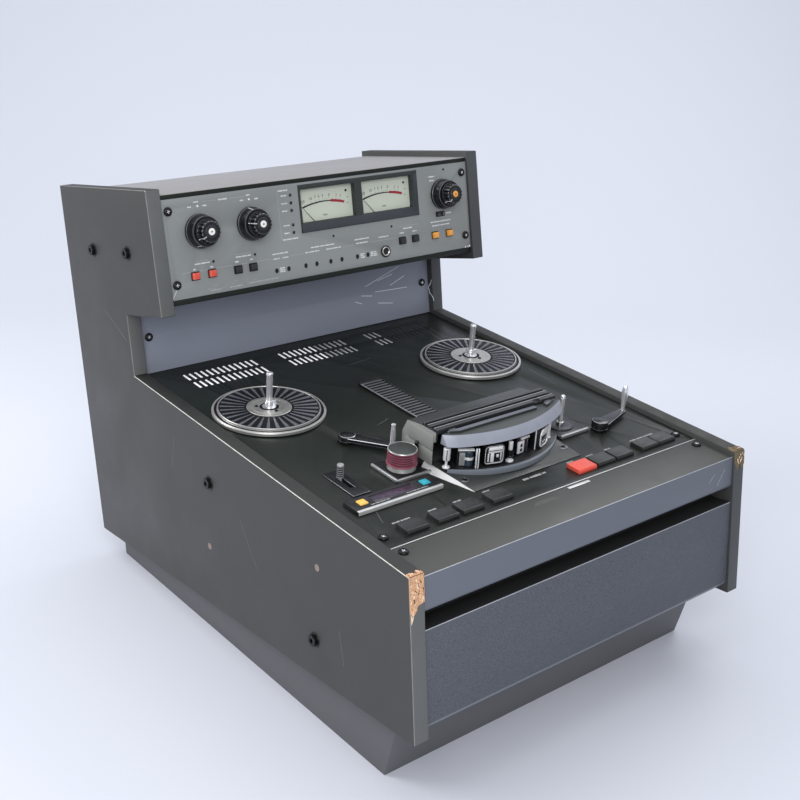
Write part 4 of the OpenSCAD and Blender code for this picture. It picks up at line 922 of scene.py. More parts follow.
class TAPE_OT_fasteners(bpy.types.Operator):
    """Side bolts, panel screws, deck screws, riser screws and the head plate's screws"""
    bl_idname = "tape.fasteners"
    bl_label = "Fasteners"

    def execute(self, context):
        piece = Build("fasteners_dressed")
        for side in (-1, 1):
            for y, z in ((171, 50), (383, 173), (542.4, 431), (642.4, 423)):
                place = outer_face(side, y, z)
                piece.add(lathe([(4, 0), (8.6, 0), (8.8, 0.5), (8.4, 1.1), (4, 1.1)], 40, ring=True),
                          "steel_blackened", place)
                piece.add(lathe([(6.4, 1.1), (6.7, 1.5), (6.7, 4.4), (6.3, 5.0), (3.4, 5.0), (3.2, 4.7),
                                 (3.2, 2.6), (0, 2.6)], 36, hexed(3.4 + 1e-6)), "steel_blackened", place)
        spots = [deck(x, d) for x in (-229, 229) for d in (47, 80)] \
            + [panel(x, s) for x in (-232.5, 232.5) for s in (35.55, 124.55)] \
            + [RISER @ shift(x, 48) for x in (-229, 229)]
        for turn, place in enumerate(spots):
            piece.add(dome_screw(5.6, 2.8), "steel_blackened", place @ spun(17 * turn))
            # Two bright bars across each head: painted glints
            for bar in (0, 90):
                piece.add(slab(6.2, 1.0, 1.0, 2.6, 0.1), "steel_ground", place @ spun(17 * turn + bar + 20))
        for x in (-78, 78):
            piece.add(lathe([(3.3, 0.5), (5.6, 0.5), (5.6, 2.9), (5.2, 3.2), (3.3, 3.2)], 32, ring=True),
                      "steel_zinc_plated", deck(x, 127))
            piece.add(dome_screw(3.2, 2.2), "steel_blackened", deck(x, 127, 1.0))
        piece.done("black_screw", "case", ("fasteners",))
        return {"FINISHED"}


class TAPE_OT_panel(bpy.types.Operator):
    """Electronics panel with its print, lamps, trimmers, slide switch and headphone socket"""
    bl_idname = "tape.panel"
    bl_label = "Electronics panel"

    def execute(self, context):
        look = context.scene.tape_panel
        rounded_node("electronics_panel", 0.25, "aluminium_sprayed_grey")
        ink = Build("panel_print", PANEL)
        tall = look.print_height
        rows = [(-202.4, 126.5, 6), (-181.6, 126.2, 6), (-193.4, 131.7, 7), (-156, 131, 13),
                (-129.5, 126.4, 5), (-108.5, 126.2, 5), (-119.5, 131.9, 6), (-68, 131.6, 15),
                (-63, 69.4, 24), (-194, 57.2, 22), (-206, 51, 4), (-182, 51, 4), (-136, 57.6, 22),
                (-146, 52, 5), (-124, 52, 5), (-81, 53.4, 24), (-88, 47.2, 9), (-74, 47.2, 9),
                (-15, 54, 38), (-32, 48.6, 22), (2, 48.6, 24), (49, 54.6, 24), (49, 49.4, 20),
                (86, 52.6, 17), (129, 59, 16), (118, 53.4, 8), (141, 53.4, 8), (189, 61, 38),
                (189, 55.8, 32), (178, 124, 12), (178, 118.6, 9), (205, 71, 10), (-150, 22, 20),
                (-110, 23, 44), (-180, 22, 14)]
        for i, (x, s, width) in enumerate(rows):
            ink.add(
                small_print(x, s, width, tall, i), "ink_printed_faint" if s < 30 else "ink_printed_white")
        for s in LAMP_ROWS:
            ink.add(small_print(-67.5, s, 9, tall * 0.9, int(s)), "ink_printed_white")
        lines = [(-186, -165, 131), (-147, -126, 131), (-225, -212, 48.4), (-200, -187, 48.4),
                 (-176, -152, 48.4), (-140, -130, 48.4), (-117, -96, 48.2), (-66, -46, 48.2),
                 (16, 37, 48.2), (61, 108, 48.2), (-203, -186, 60.6), (-148, -124, 61), (112, 146, 62.4),
                 (-77, -50, 70), (-77, -76, 131)]
        for left, right, s in lines:
            ink.add(box((left, s - 0.2, 0), (right, s + 0.2, 0.05)), "ink_printed_faint")
        ink.add(box((-77.2, 70, 0), (-76.8, 131, 0.05)), "ink_printed_faint")
        for x, w in ((-80, 7), (48, 6), (67, 10)):
            for row in range(3):
                ink.add(small_print(x, 34.4 - 2.3 * row, w + 1, 1.7, int(x) + 200 + 7 * row),
                        "ink_printed_white")
        for x, s in ((-191.8, 126.6), (-119, 126.5)):
            ink.add(lathe([(1.3, 0), (1.3, 0.06), (0, 0.06)], 16), "ink_printed_white", shift(x, s))
        ink.done("panel_paint")

        fittings = Build("panel_trimmers_and_lamps", PANEL)
        for x in (-89.3, -70.9, -44.3, -27, -4.5, 13.5, 39.2, 56.9):
            hole = lathe([(2.7, 0), (2.6, 0.35), (2.1, 0.4), (1.9, 0.1), (0, 0.06)], 28)
            fittings.add(hole, "abs_polished_black", shift(x, 32) @ Matrix.Diagonal((0.94, 1.2, 1, 1)))
            fittings.add(slab(2.4, 0.5, 0.05, 0.18), "steel_blackened", shift(x, 32, 0, 35 + 20 * x))
        for s in LAMP_ROWS:
            fittings.add(lathe([(2.1, 0), (2.0, 0.5), (1.5, 0.9), (0.8, 1.15), (0, 1.2)], 24),
                         "acrylic_lamp", shift(-57.7, s))
        for x, s in ((3.5, 64.6), (100.8, 64.8), (-179, 57.3), (-119, 57.5), (200, 132)):
            fittings.add(
                lathe([(1.7, 0), (1.6, 0.4), (1.2, 0.7), (0, 0.8)], 24), "abs_polished_black", shift(x, s))
        # Seat of the slide switch
        fittings.add(border(oblong(15.6, 7.4, (188.8, SWITCH_S + 0.2)),
                            oblong(14.4, 5.2, (188.5, SWITCH_S)), 0, 0.7, 0.2), "abs_polished_black")
        fittings.add(slab(14.6, 5.2, -2.8, -2.4, 0, (188.5, SWITCH_S)), "abs_moulded_black")
        fittings.done("bezel_plastic")

        jack = Build("headphone_socket", panel(87, 32.4))
        jack.add(lathe([(8, 0), (8, 1.2), (7.5, 1.8), (6.7, 1.8), (6.6, 0)], 48, ring=True),
                 "abs_polished_black")
        jack.add(lathe([(6.5, 0), (6.5, 1.5), (6.1, 2.0), (5.0, 2.0), (4.6, 1.7), (4.4, 0.4), (4.4, 0)], 48,
                       ring=True), "nickel_plated_bright")
        jack.add(lathe([(6.0, -0.2), (4.4, 0.3), (3.25, 0.1), (3.25, -22), (0, -22), (0, -24), (6, -24)],
                       32), "abs_polished_black")
        jack.done("black_plastic")

        rail = Build("panel_rails", PANEL)
        rail.add(box((-241, 10.6, -3.0), (241, 17.2, 0.3), 0.4), "steel_sprayed_matt_black")
        rail.add(box((-241, 139.4, -0.6), (241, 144.4, 0.5), 0.3), "steel_sprayed_matt_black")
        rail.done("bezel_plastic")
        switch = Build("panel_slide_switch_dressed", panel(184.5, SWITCH_S))
        switch.add(slab(6, 4.6, -3.3, 3.4, 0.35), "abs_moulded_black")
        switch.add(slab(9, 9.6, -4.8, -3.3, 0.2), "abs_moulded_black")
        for x in (-1.8, -0.6, 0.6, 1.8):
            switch.add(slab(0.5, 4.2, 3.3, 3.7, 0.1, (x, 0)), "abs_moulded_grey")
        switch.done("button_plastic", "panel_slide_switch", ("panel_slide_switch",))
        return {"FINISHED"}


class TAPE_OT_meters(bpy.types.Operator):
    """Two level meters: frame, dials, panes and needles"""
    bl_idname = "tape.meters"
    bl_label = "Meters"

    def execute(self, context):
        look = context.scene.tape_panel
        w, tall, low = METER_W, METER_S, METER_LOW
        centres = (METER_X - METER_PITCH / 2, METER_X + METER_PITCH / 2)
        left, right = centres[0] - w / 2 - 2.75, centres[1] + w / 2 + 8.75
        rounded_node("meter_bezel", 0.2, "abs_moulded_green_grey", local=PANEL)
        trim = Build("meter_sill_and_side_strip", PANEL)
        sill = [(low - 11.6, 0.4), (low - 0.5, 0.4), (low - 0.5, 0.7), (low - 11.2, 1.7), (low - 11.6, 1.5)]
        trim.add(prism(sill, left + 0.6, right - 0.6, 0.15), "abs_moulded_painted_lit", ALONG_X)
        trim.add(box((right - 6.4, low + 1, 0.4), (right - 1.6, low + tall + 3.6, 1.0), 0.2),
                 "abs_moulded_painted_lit")
        trim.add(box((left + 0.3, low + tall + 1.6, 0.4), (right - 0.3, low + tall + 5.4, 1.0), 0.2),
                 "abs_moulded_green_grey")
        trim.done("bezel_plastic")

        dial = Build("meter_dials", PANEL)
        floor = look.dial_height
        face = floor + 0.3
        for x in centres:
            dial.add(slab(w - 0.4, tall - 0.4, floor, face, 0, (x, low + tall / 2)), "card_printed")
            hub = (x - 1, low + 24.2 - 115)
            dial.add(
                arc_band(hub, 114.3, (116.6, 115.7), 108.2, 85.3, face, face + 0.05), "ink_printed_black")
            dial.add(arc_band(hub, 113.4, 116.8, 85.3, 74.2, face, face + 0.06), "ink_printed_red")
            for text, reach in (("20", -32), ("10", -21), ("7", -14), ("5", -8.5), ("3", -2.8), ("2", 0.6),
                                ("1", 3.6), ("0", 7), ("1", 12.5), ("2", 18), ("3", 24)):
                a = math.asin(reach / 115)
                inked = "ink_printed_dim_red" if reach > 9 else "ink_printed_dim"
                ray = Vector((math.sin(a), math.cos(a)))
                tick = Vector(hub) + 117.6 * ray
                dial.add(
                    slab(0.35, 2.2, face, face + 0.05), inked, shift(tick.x, tick.y, 0, -math.degrees(a)))
                if text in ("20", "10", "7", "5", "3") or reach in (7, 18):
                    spot = Vector(hub) + 122.2 * ray
                    dial.add(digits(text, look.digit_size, spot, face, face + 0.05, -a), inked)
            dial.add(lathe([(1.7, 0), (1.7, 0.4), (1.2, 0.8), (0, 0.9)], 24), "abs_polished_black",
                     shift(x + 34, low + 34.5, face))
            dial.add(small_print(x + 36, low + 25.5, 3.2, 1.5, 5, face, 0.04), "ink_printed_grey")
            dial.add(small_print(x + 36, low + 18, 3.2, 1.5, 6, face, 0.04), "ink_printed_grey")
            dial.add(small_print(x - 2, low + 6.5, 7, 2.4, 8, face, 0.04), "ink_printed_grey")
        dial.done("bezel_plastic")
        panes = Build("meter_panes", PANEL)
        for x in centres:
            panes.add(slab(w - 0.2, tall - 0.2, -0.9, -0.1, 0, (x, low + tall / 2)), "acrylic_clear")
        panes.done("bezel_plastic")
        for x, node in zip(centres, ("left_meter_needle", "right_meter_needle")):
            needle = Build(node + "_dressed", panel(x + 2, low - 25.5, 0, NEEDLE_REST))
            needle.add(prism([(-0.5, -7), (0.5, -7), (0.5, 10), (0.24, 57), (-0.24, 57), (-0.5, 10)],
                             floor + 1.9, floor + 2.4), "ink_printed_black")
            needle.add(lathe([(2.5, floor + 1.5), (2.5, floor + 3.2), (2.0, floor + 3.6), (0, floor + 3.6)],
                             24), "abs_moulded_black")
            needle.done("needle_black", node, (node,))
        return {"FINISHED"}


class TAPE_OT_knobs(bpy.types.Operator):
    """Three double knobs: a ring behind and a fluted knob in front of it"""
    bl_idname = "tape.knobs"
    bl_label = "Knobs"

    def execute(self, context):
        names = ("first_input", "second_input", "output")
        caps = ("abs_moulded_white", "abs_moulded_white", "abs_moulded_orange")
        ring_marks, pointers = (242, 104, 60), (202, 160, 214)

        def grip_finish(centre, normal):
            rim = centre.z > 28.6 and math.hypot(centre.x, centre.y) > 11.4
            return "abs_rim_paler" if rim else "abs_polished_black"
        for name, (x, s), cap, ring_mark, pointer in zip(names, KNOBS, caps, ring_marks, pointers):
            outer = Build(name + "_outer_knob_dressed", panel(x, s))
            outer.add(lathe([(5.2, 0.9), (20.6, 0.9), (21.3, 1.2), (21.5, 1.7), (21.5, 4.2), (21.2, 4.8),
                             (20.6, 5.1), (20.3, 5.7), (19.0, 14.6), (18.7, 15.0), (18.6, 16.6),
                             (18.2, 17.3), (17.7, 17.5), (16.8, 17.5), (16.5, 17.1), (5.2, 17.1)], 144,
                            fluted(48, 0.35, 1.5, 4.4, 21.0), ring=True), "abs_polished_black")
            outer.add(lathe([(18.55, 16.3), (18.75, 16.5), (18.45, 17.2), (18.2, 17.2)], 96, ring=True),
                      "abs_rim_paler")
            outer.add(lathe([(21.1, 4.7), (21.35, 4.75), (20.8, 5.2), (20.5, 5.1)], 96, ring=True),
                      "abs_rim_paler")
            outer.add(lathe([(3.2, -12), (4.8, -12), (4.8, 0.9), (5.3, 0.9), (5.3, 17.1), (3.2, 17.1)], 32,
                            ring=True), "steel_zinc_plated")
            turn = spun(ring_mark)
            outer.add(hull([(r, y, z) for r, z in ((20.35, 5.9), (20.5, 5.9), (18.75, 16.9), (18.6, 16.9))
                            for y in (-0.5, 0.5)]), "ink_printed_white", turn)
            outer.done("knob_plastic", name + "_outer_knob", (name + "_outer_knob",))
            inner = Build(name + "_inner_knob_dressed", panel(x, s))
            inner.add(lathe([(3.0, 17.8), (15.4, 17.8), (15.9, 18.1), (16, 18.4), (16, 19.3), (15.7, 19.8),
                             (14.4, 20.1), (13.7, 20.5), (13.4, 21.2), (13.2, 28.4), (12.8, 29.1),
                             (12.1, 29.5), (8.8, 29.5), (8.5, 29.0), (3, 29.0)], 192,
                            fluted(16, 2.1, 20.4, 29.6, 11.0), ring=True), grip_finish)
            inner.add(lathe([(3.0, -16), (3.0, 29.0), (8.3, 29.0), (8.3, 29.5), (7.9, 29.8), (5.0, 29.8),
                             (4.6, 29.4), (0, 29.4), (0, -16)], 48), "aluminium_anodised_dark")
            inner.add(lathe([(4.3, 29.4), (4.3, 30.1), (3.9, 30.5), (1.4, 30.6), (1.2, 30.3), (0, 30.3)],
                            32), cap)
            inner.add(lathe([(1.1, 30.2), (1.1, 30.4), (0, 30.4)], 16), "abs_moulded_grey")
            turn = spun(pointer + 11.25)
            inner.add(box((9.0, -0.4, 29.3), (12.6, 0.4, 29.65), 0.05), "ink_printed_white", turn)
            inner.add(box((12.7, -0.4, 20.4), (13.45, 0.4, 29.0), 0.05), "ink_printed_white", turn)
            inner.add(box((13.4, -0.4, 19.7), (15.9, 0.4, 20.4), 0.05), "ink_printed_white", turn)
            inner.done("knob_plastic", name + "_inner_knob", (name + "_inner_knob",))
        return {"FINISHED"}


class TAPE_OT_buttons(bpy.types.Operator):
    """Eight push buttons in their frames"""
    bl_idname = "tape.buttons"
    bl_label = "Push buttons"

    def execute(self, context):
        frames = Build("push_button_frames", PANEL)
        groups = (("red_button", (-206, -182.5), 43, "abs_moulded_red", "red_plastic"),
                  ("input_button", (-145.5, -123.5), 42, "abs_moulded_charcoal", "button_plastic"),
                  ("monitor_button", (117.5, 140.5), 43, "abs_moulded_charcoal", "button_plastic"),
                  ("orange_button", (176.5, 202.5), 42.7, "abs_moulded_orange", "orange_plastic"))
        for group, places, s, colour, slot in groups:
            for x, side in zip(places, ("left", "right")):
                node = f"{group}_{side}"
                frames.add(border(oblong(11.9, 10.4, (x, s), 0.8), oblong(9.9, 8.4, (x, s), 0.3), 0, 0.8,
                                  0.2), "abs_polished_black")
                cap = Build(node + "_dressed", panel(x, s))
                cap.add(slab(9.5, 8, -3.3, 3.6, 0.4), colour)
                cap.add(slab(8.3, 6.8, 3.5, 4.5, 0.5), colour)
                cap.add(slab(14, 12, -5.3, -3.4, 0.2), "abs_moulded_black")
                cap.done(slot, node, (node,))
        frames.done("bezel_plastic")
        return {"FINISHED"}


class TAPE_OT_reels(bpy.types.Operator):
    """Two reel tables with ribbed mats, hub discs and three-winged spindles"""
    bl_idname = "tape.reels"
    bl_label = "Reel tables"

    def execute(self, context):
        look = context.scene.tape_deck
        for side, node in ((-1, "left_reel_table"), (1, "right_reel_table")):
            table = Build(node + "_dressed", deck(side * REEL_X, REEL_D, 0, 11 if side > 0 else 0))
            table.add(lathe([(6, 1.2), (69.9, 1.2), (70.5, 1.7), (70.5, 4.9), (70.1, 5.5), (69.2, 5.6),
                             (68.8, 6.0), (67.6, 6.0), (67.2, 5.4), (64.4, 5.4), (63.9, 6.0), (63.8, 8.0),
                             (63.4, 8.5), (62.4, 8.5), (62.1, 8.1), (62.0, 7.0), (6, 7.0)], 160, ring=True),
                      "aluminium_turned")
            table.add(lathe([(64.2, 5.45), (67.3, 5.45), (67.3, 5.85), (64.2, 5.85)], 128, ring=True),
                      "rubber_moulded")
            table.add(lathe([(27.5, 6.9), (61.9, 6.9), (61.9, 7.5), (61.4, 7.7), (29, 7.7), (27.5, 7.4)],
                            96, ring=True), "rubber_moulded")
            for k in range(look.mat_ribs):
                a = 360 * k / look.mat_ribs
                rib = hull([(30.5, -1.0, 7.6), (60.6, -2.6, 7.6), (60.6, 2.6, 7.6), (30.5, 1.0, 7.6),
                            (30.5, 0.9, 8.0), (60.6, 2.5, 8.3)])
                table.add(rib, "rubber_ribs_painted_sheen", spun(a))
            table.add(lathe([(6, 6.9), (28, 6.9), (28, 8.2), (27.5, 8.6), (22.4, 8.7), (22.2, 8.5),
                             (21.4, 8.5), (21.2, 8.7), (12.4, 8.8), (12.0, 8.4), (6, 8.4)], 96, ring=True),
                      "aluminium_hub_satin")
            table.add(
                lathe([(8.4, 8.3), (11.9, 8.3), (11.9, 8.6), (8.4, 8.6)], 64, ring=True), "rubber_moulded")
            for a in (30, 150, 270):
                place = shift(15.6 * math.cos(math.radians(a)), 15.6 * math.sin(math.radians(a)), 8.7)
                table.add(dome_screw(2.3, 1.2), "steel_blackened", place)
            table.add(lathe([(6, -61), (6, 8.4), (8.6, 8.4), (8.6, 9.4), (5.17, 10.0), (5.17, 16.6),
                             (4.8, 17), (3.97, 17), (3.97, 49.6), (4.35, 50.4), (4.35, 53.0), (3.9, 53.8),
                             (3.4, 54), (0, 54), (0, -61)], 40), "steel_ground")
            for a in (90, 210, 330):
                wing = prism([(3, 8.8), (8.7, 8.8), (8.7, 15.2), (7.6, 16.8), (3, 17)], -1, 1, 0.25)
                upright = Matrix.Rotation(math.radians(a), 4, "Z") @ Matrix.Rotation(math.pi / 2, 4, "X")
                table.add(wing, "steel_ground", upright)
            table.done("turned_aluminium", node, (node,))
        return {"FINISHED"}


class TAPE_OT_transport(bpy.types.Operator):
    """Tension arms, rollers, capstan, cue lever, their plates and the tape counter"""
    bl_idname = "tape.transport"
    bl_label = "Tape transport"

    def execute(self, context):
        left_post = [(3.9, 8.4), (3.9, 9.3), (3.3, 9.9), (3.3, 21), (2.7, 30), (2.3, 32.8), (2.8, 33.2),
                     (2.8, 34.7), (2.5, 35)]
        right_post = [(2.8, 8.4), (2.5, 11), (3.2, 19), (4.1, 27), (4.2, 32), (3.5, 38.5), (2.5, 42.2),
                      (1.7, 43)]
        # The last column is the bright finish of the arms' bevelled edges, a painted highlight
        arms = (("left_tension_arm", -130.5, 279, -58, 9.5, left_post, "steel_ground"),
                ("right_tension_arm", 157, 141.5, 13, 13, right_post, "steel_edge_bare_and_highlit"))
        for node, x, d, rest, top, post, edge in arms:
            arm = Build(node + "_dressed", deck(x, d, 0, rest))
            arm.add(prism(teardrop(10.0, 4.5, 57), 4.2, 8.5, 0.6, 3),
                    faces_and_edges("abs_polished_black", edge))
            arm.add(lathe([(4, -9), (4, 1), (10.0, 1), (10.5, 1.5), (10.5, top - 1.2), (10.1, top - 0.4),
                           (9.3, top), (0, top), (0, -9)], 64), "abs_polished_black")
            # Bright rings on the hub: painted highlights
            arm.add(lathe([(10.4, 3.1), (10.65, 3.2), (10.65, 3.7), (10.4, 3.8)], 64, ring=True),
                    "steel_edge_bare_and_highlit")
            arm.add(lathe([(9.2, top - 0.1), (9.2, top + 0.06), (9.9, top - 0.3), (9.8, top - 0.5)], 64,
                          ring=True), "steel_edge_bare_and_highlit")
            arm.add(lathe(post + [(0, post[-1][1]), (0, 8.4)], 40), "steel_ground", shift(57, 0))
            arm.done("arm_paint", node, (node,))

        flat_or_edge = faces_and_edges("aluminium_anodised_black", "steel_edge_bare_and_highlit")

        def plate_finish(centre, normal):
            x, d, h = centre
            if h > 3.02 and math.hypot(x - ROLLER[0], d - ROLLER[1]) < 18:
                return "aluminium_turned"
            if h > 3.02 and math.hypot(x - CAPSTAN[0], d - CAPSTAN[1]) < 18:
                return "aluminium_anodised_dark"
            return flat_or_edge(centre, normal)
        rounded_node("transport_plates", 0.45, plate_finish, local=DECK)
        trim = Build("transport_plate_trims", DECK)
        trim.add(box((-146, 162.6, 0), (-96, 166, 4.4), 1.1, 3), "aluminium_rail_satin")
        trim.add(box((-146, 162.6, 0), (-142.6, 212.4, 4.4), 1.1, 3), "aluminium_rail_satin")
        trim.add(box((95, 145.0, 0), (143, 149.3, 4.6), 1.1, 3), "aluminium_rail_satin")
        trim.add(lathe([(14.9, 4.95), (15.2, 5.15), (16.1, 5.15), (16.4, 4.95)], 64, ring=True),
                 "abs_polished_black", shift(*CAPSTAN))
        trim.add(lathe([(3.2, 4.9), (4.9, 4.9), (4.9, 6.4), (4.3, 8.4), (3.2, 8.6)], 40, ring=True),
                 "nickel_plated_bright", shift(*CAPSTAN))
        trim.done("brushed_plate")

        # Black post in the gap beside the counter roller: a dark shape put there as painted shade
        shade_piece = Build("roller_painted_shade_post", deck(-98.3, 190))
        shade_piece.add(lathe([(1.8, 0), (2.4, 0.6), (2.4, 29), (1.9, 29.7), (0, 29.9), (0, 0)], 32),
                  "abs_polished_black")
        shade_piece.done("black_plastic")
        roller = Build("counter_roller_dressed", deck(*ROLLER))
        profile = [(3, 8.8), (17.8, 8.8), (18.3, 9.2), (18.3, 9.8), (17.9, 10.1), (17.3, 10.2)]
        for k in range(5):
            z = 11.1 + 2.9 * k
            profile += [(17.3, z), (16.3, z + 0.35), (16.3, z + 1.15), (17.3, z + 1.5)]
        profile += [(17.3, 25.6), (3, 25.6)]

        # Grooves painted darker as shade
        def roller_finish(centre, normal):
            groove = math.hypot(centre.x, centre.y) < 16.6
            return "aluminium_anodised_red_painted_shade" if groove else "aluminium_anodised_red"
        roller.add(lathe(profile, 96, ring=True), roller_finish)
        roller.add(lathe([(3, 25.5), (17.3, 25.5), (17.2, 26.3), (16.8, 26.8), (16.4, 26.8), (16.2, 26.6),
                          (3, 26.6)], 96, ring=True), "aluminium_turned")
        roller.add(lathe([(3, -7), (3, 26), (16.0, 26), (16.0, 26.7), (15.6, 26.85), (0, 26.85), (0, -7)],
                         64), "abs_moulded_green_grey")
        roller.done("red_roller", "counter_roller", ("counter_roller",))

        capstan = Build("capstan_dressed", deck(*CAPSTAN))
        capstan.add(lathe([(3, -73), (3, 40.4), (2.5, 40.8), (2.5, 41.6), (2.9, 42.0), (2.6, 43.2),
                           (1.8, 44), (0, 44), (0, -73)], 40), "steel_ground")
        capstan.add(lathe([(3, -35), (35.4, -35), (36, -34.4), (36, -19.6), (35.4, -19), (3, -19)], 96,
                          ring=True), "steel_zinc_plated")
        capstan.add(box((-3.04, -0.6, 41.2), (-1.6, 0.6, 43.3), 0.1), "abs_polished_black")
        capstan.done("capstan_steel", "capstan", ("capstan",))

        over, back = PINCH_ROLLER[0] - PINCH_PIVOT[0], PINCH_ROLLER[1] - PINCH_PIVOT[1]
        reach, turn = math.hypot(over, back), math.degrees(math.atan2(back, over))
        arm = Build("pinch_arm_dressed", deck(*PINCH_PIVOT, 0, turn))
        arm.add(prism(teardrop(9, 5, reach), 6, 10, 0.6),
                faces_and_edges("steel_sprayed_dark", "steel_edge_bare_and_highlit"))
        arm.add(lathe([(4, -9), (4, 1), (8.6, 1), (9, 1.4), (9, 6.2), (0, 6.2), (0, -9)], 40),
                "steel_sprayed_dark")
        arm.add(dome_screw(4, 1.6), "steel_blackened", shift(0, 0, 9.9))
        arm.add(lathe([(4.8, 9.9), (4.8, 11.4), (2.5, 11.7), (2.5, 34.3), (4.2, 34.4), (4.5, 34.8),
                       (4.5, 35.6), (4.1, 36), (1.8, 36), (1.4, 35.4), (0, 35.4), (0, 9.9)], 40),
                "steel_zinc_plated", shift(reach, 0))
        arm.done("arm_paint", "pinch_arm", ("pinch_arm",))
        wheel = Build("pinch_roller_dressed", deck(*PINCH_ROLLER))
        wheel.add(lathe([(6.2, 12.2), (11.2, 12.2), (12, 12.9), (12, 33.1), (11.2, 33.8), (6.2, 33.8)], 72,
                        ring=True), "rubber_moulded")
        wheel.add(lathe([(2.55, 12), (6.3, 12), (6.3, 34), (2.55, 34)], 48, ring=True), "aluminium_turned")
        wheel.done("pinch_rubber", "pinch_roller", ("pinch_roller",))

        lever = Build("cue_lever_dressed", deck(-193, 206))
        grip = [(2.5, -5.2), (2.5, 3), (3.8, 3), (4.1, 3.4)]
        for k in range(5):
            z = 5.0 + 2.6 * k
            grip += [(4.1, z), (3.4, z + 0.3), (3.4, z + 1.1), (4.1, z + 1.4)]

        def grip_finish(centre, normal):
            groove = math.hypot(centre.x, centre.y) < 3.75 and 3.5 < centre.z < 18
            return "abs_moulded_black" if groove else "abs_moulded_silver"
        lever.add(
            lathe(grip + [(4.1, 18.2), (3.5, 19.2), (2.4, 19.5), (0, 19.5), (0, -5.2)], 40), grip_finish)
        lever.add(slab(14, 14, -5.3, -3.3, 0.2), "abs_moulded_black")
        lever.done("knob_plastic", "cue_lever", ("cue_lever",))

        rounded_node("counter_housing", 0.3, "abs_moulded_black")
        display = Build("counter_front_bar_and_display", DECK)
        display.add(box((-224.8, 127.5, 0.2), (-108.2, 131.6, 5.5), 0.9, 3), "aluminium_bar_satin")
        display.add(slab(57.6, 14.6, 3.5, 4.2, 0.1, (-166.5, 144)), "acrylic_smoked")
        for k in range(4):
            display.add(digits("0", 7.5, (-181 + 9.4 * k, 144), 4.2, 4.23), "display_unlit")
        for x in (RESET_X, MODE_X):
            display.add(border(oblong(14, 14, (x, COUNTER_D), 1.5), oblong(10.6, 10.6, (x, COUNTER_D), 0.6),
                               4.6, 5.25, 0.15), "abs_polished_black")
        display.add(small_print(-190, 135, 26, 1.5, 3, 5.0), "ink_printed_faint")
        display.add(small_print(-140, 135, 30, 1.5, 4, 5.0), "ink_printed_faint")
        display.done("black_plastic")
        buttons = (("counter_reset_button", RESET_X, "abs_moulded_yellow", "yellow_plastic"),
                   ("counter_mode_button", MODE_X, "abs_moulded_cyan", "cyan_plastic"))
        for node, x, colour, slot in buttons:
            cap = Build(node + "_dressed", deck(x, COUNTER_D))
            cap.add(slab(10, 10, 2.4, 6.4, 0.5), colour)
            cap.add(slab(8, 8, 6.2, 7.0, 0.4), colour)
            cap.done(slot, node, (node,))
        return {"FINISHED"}


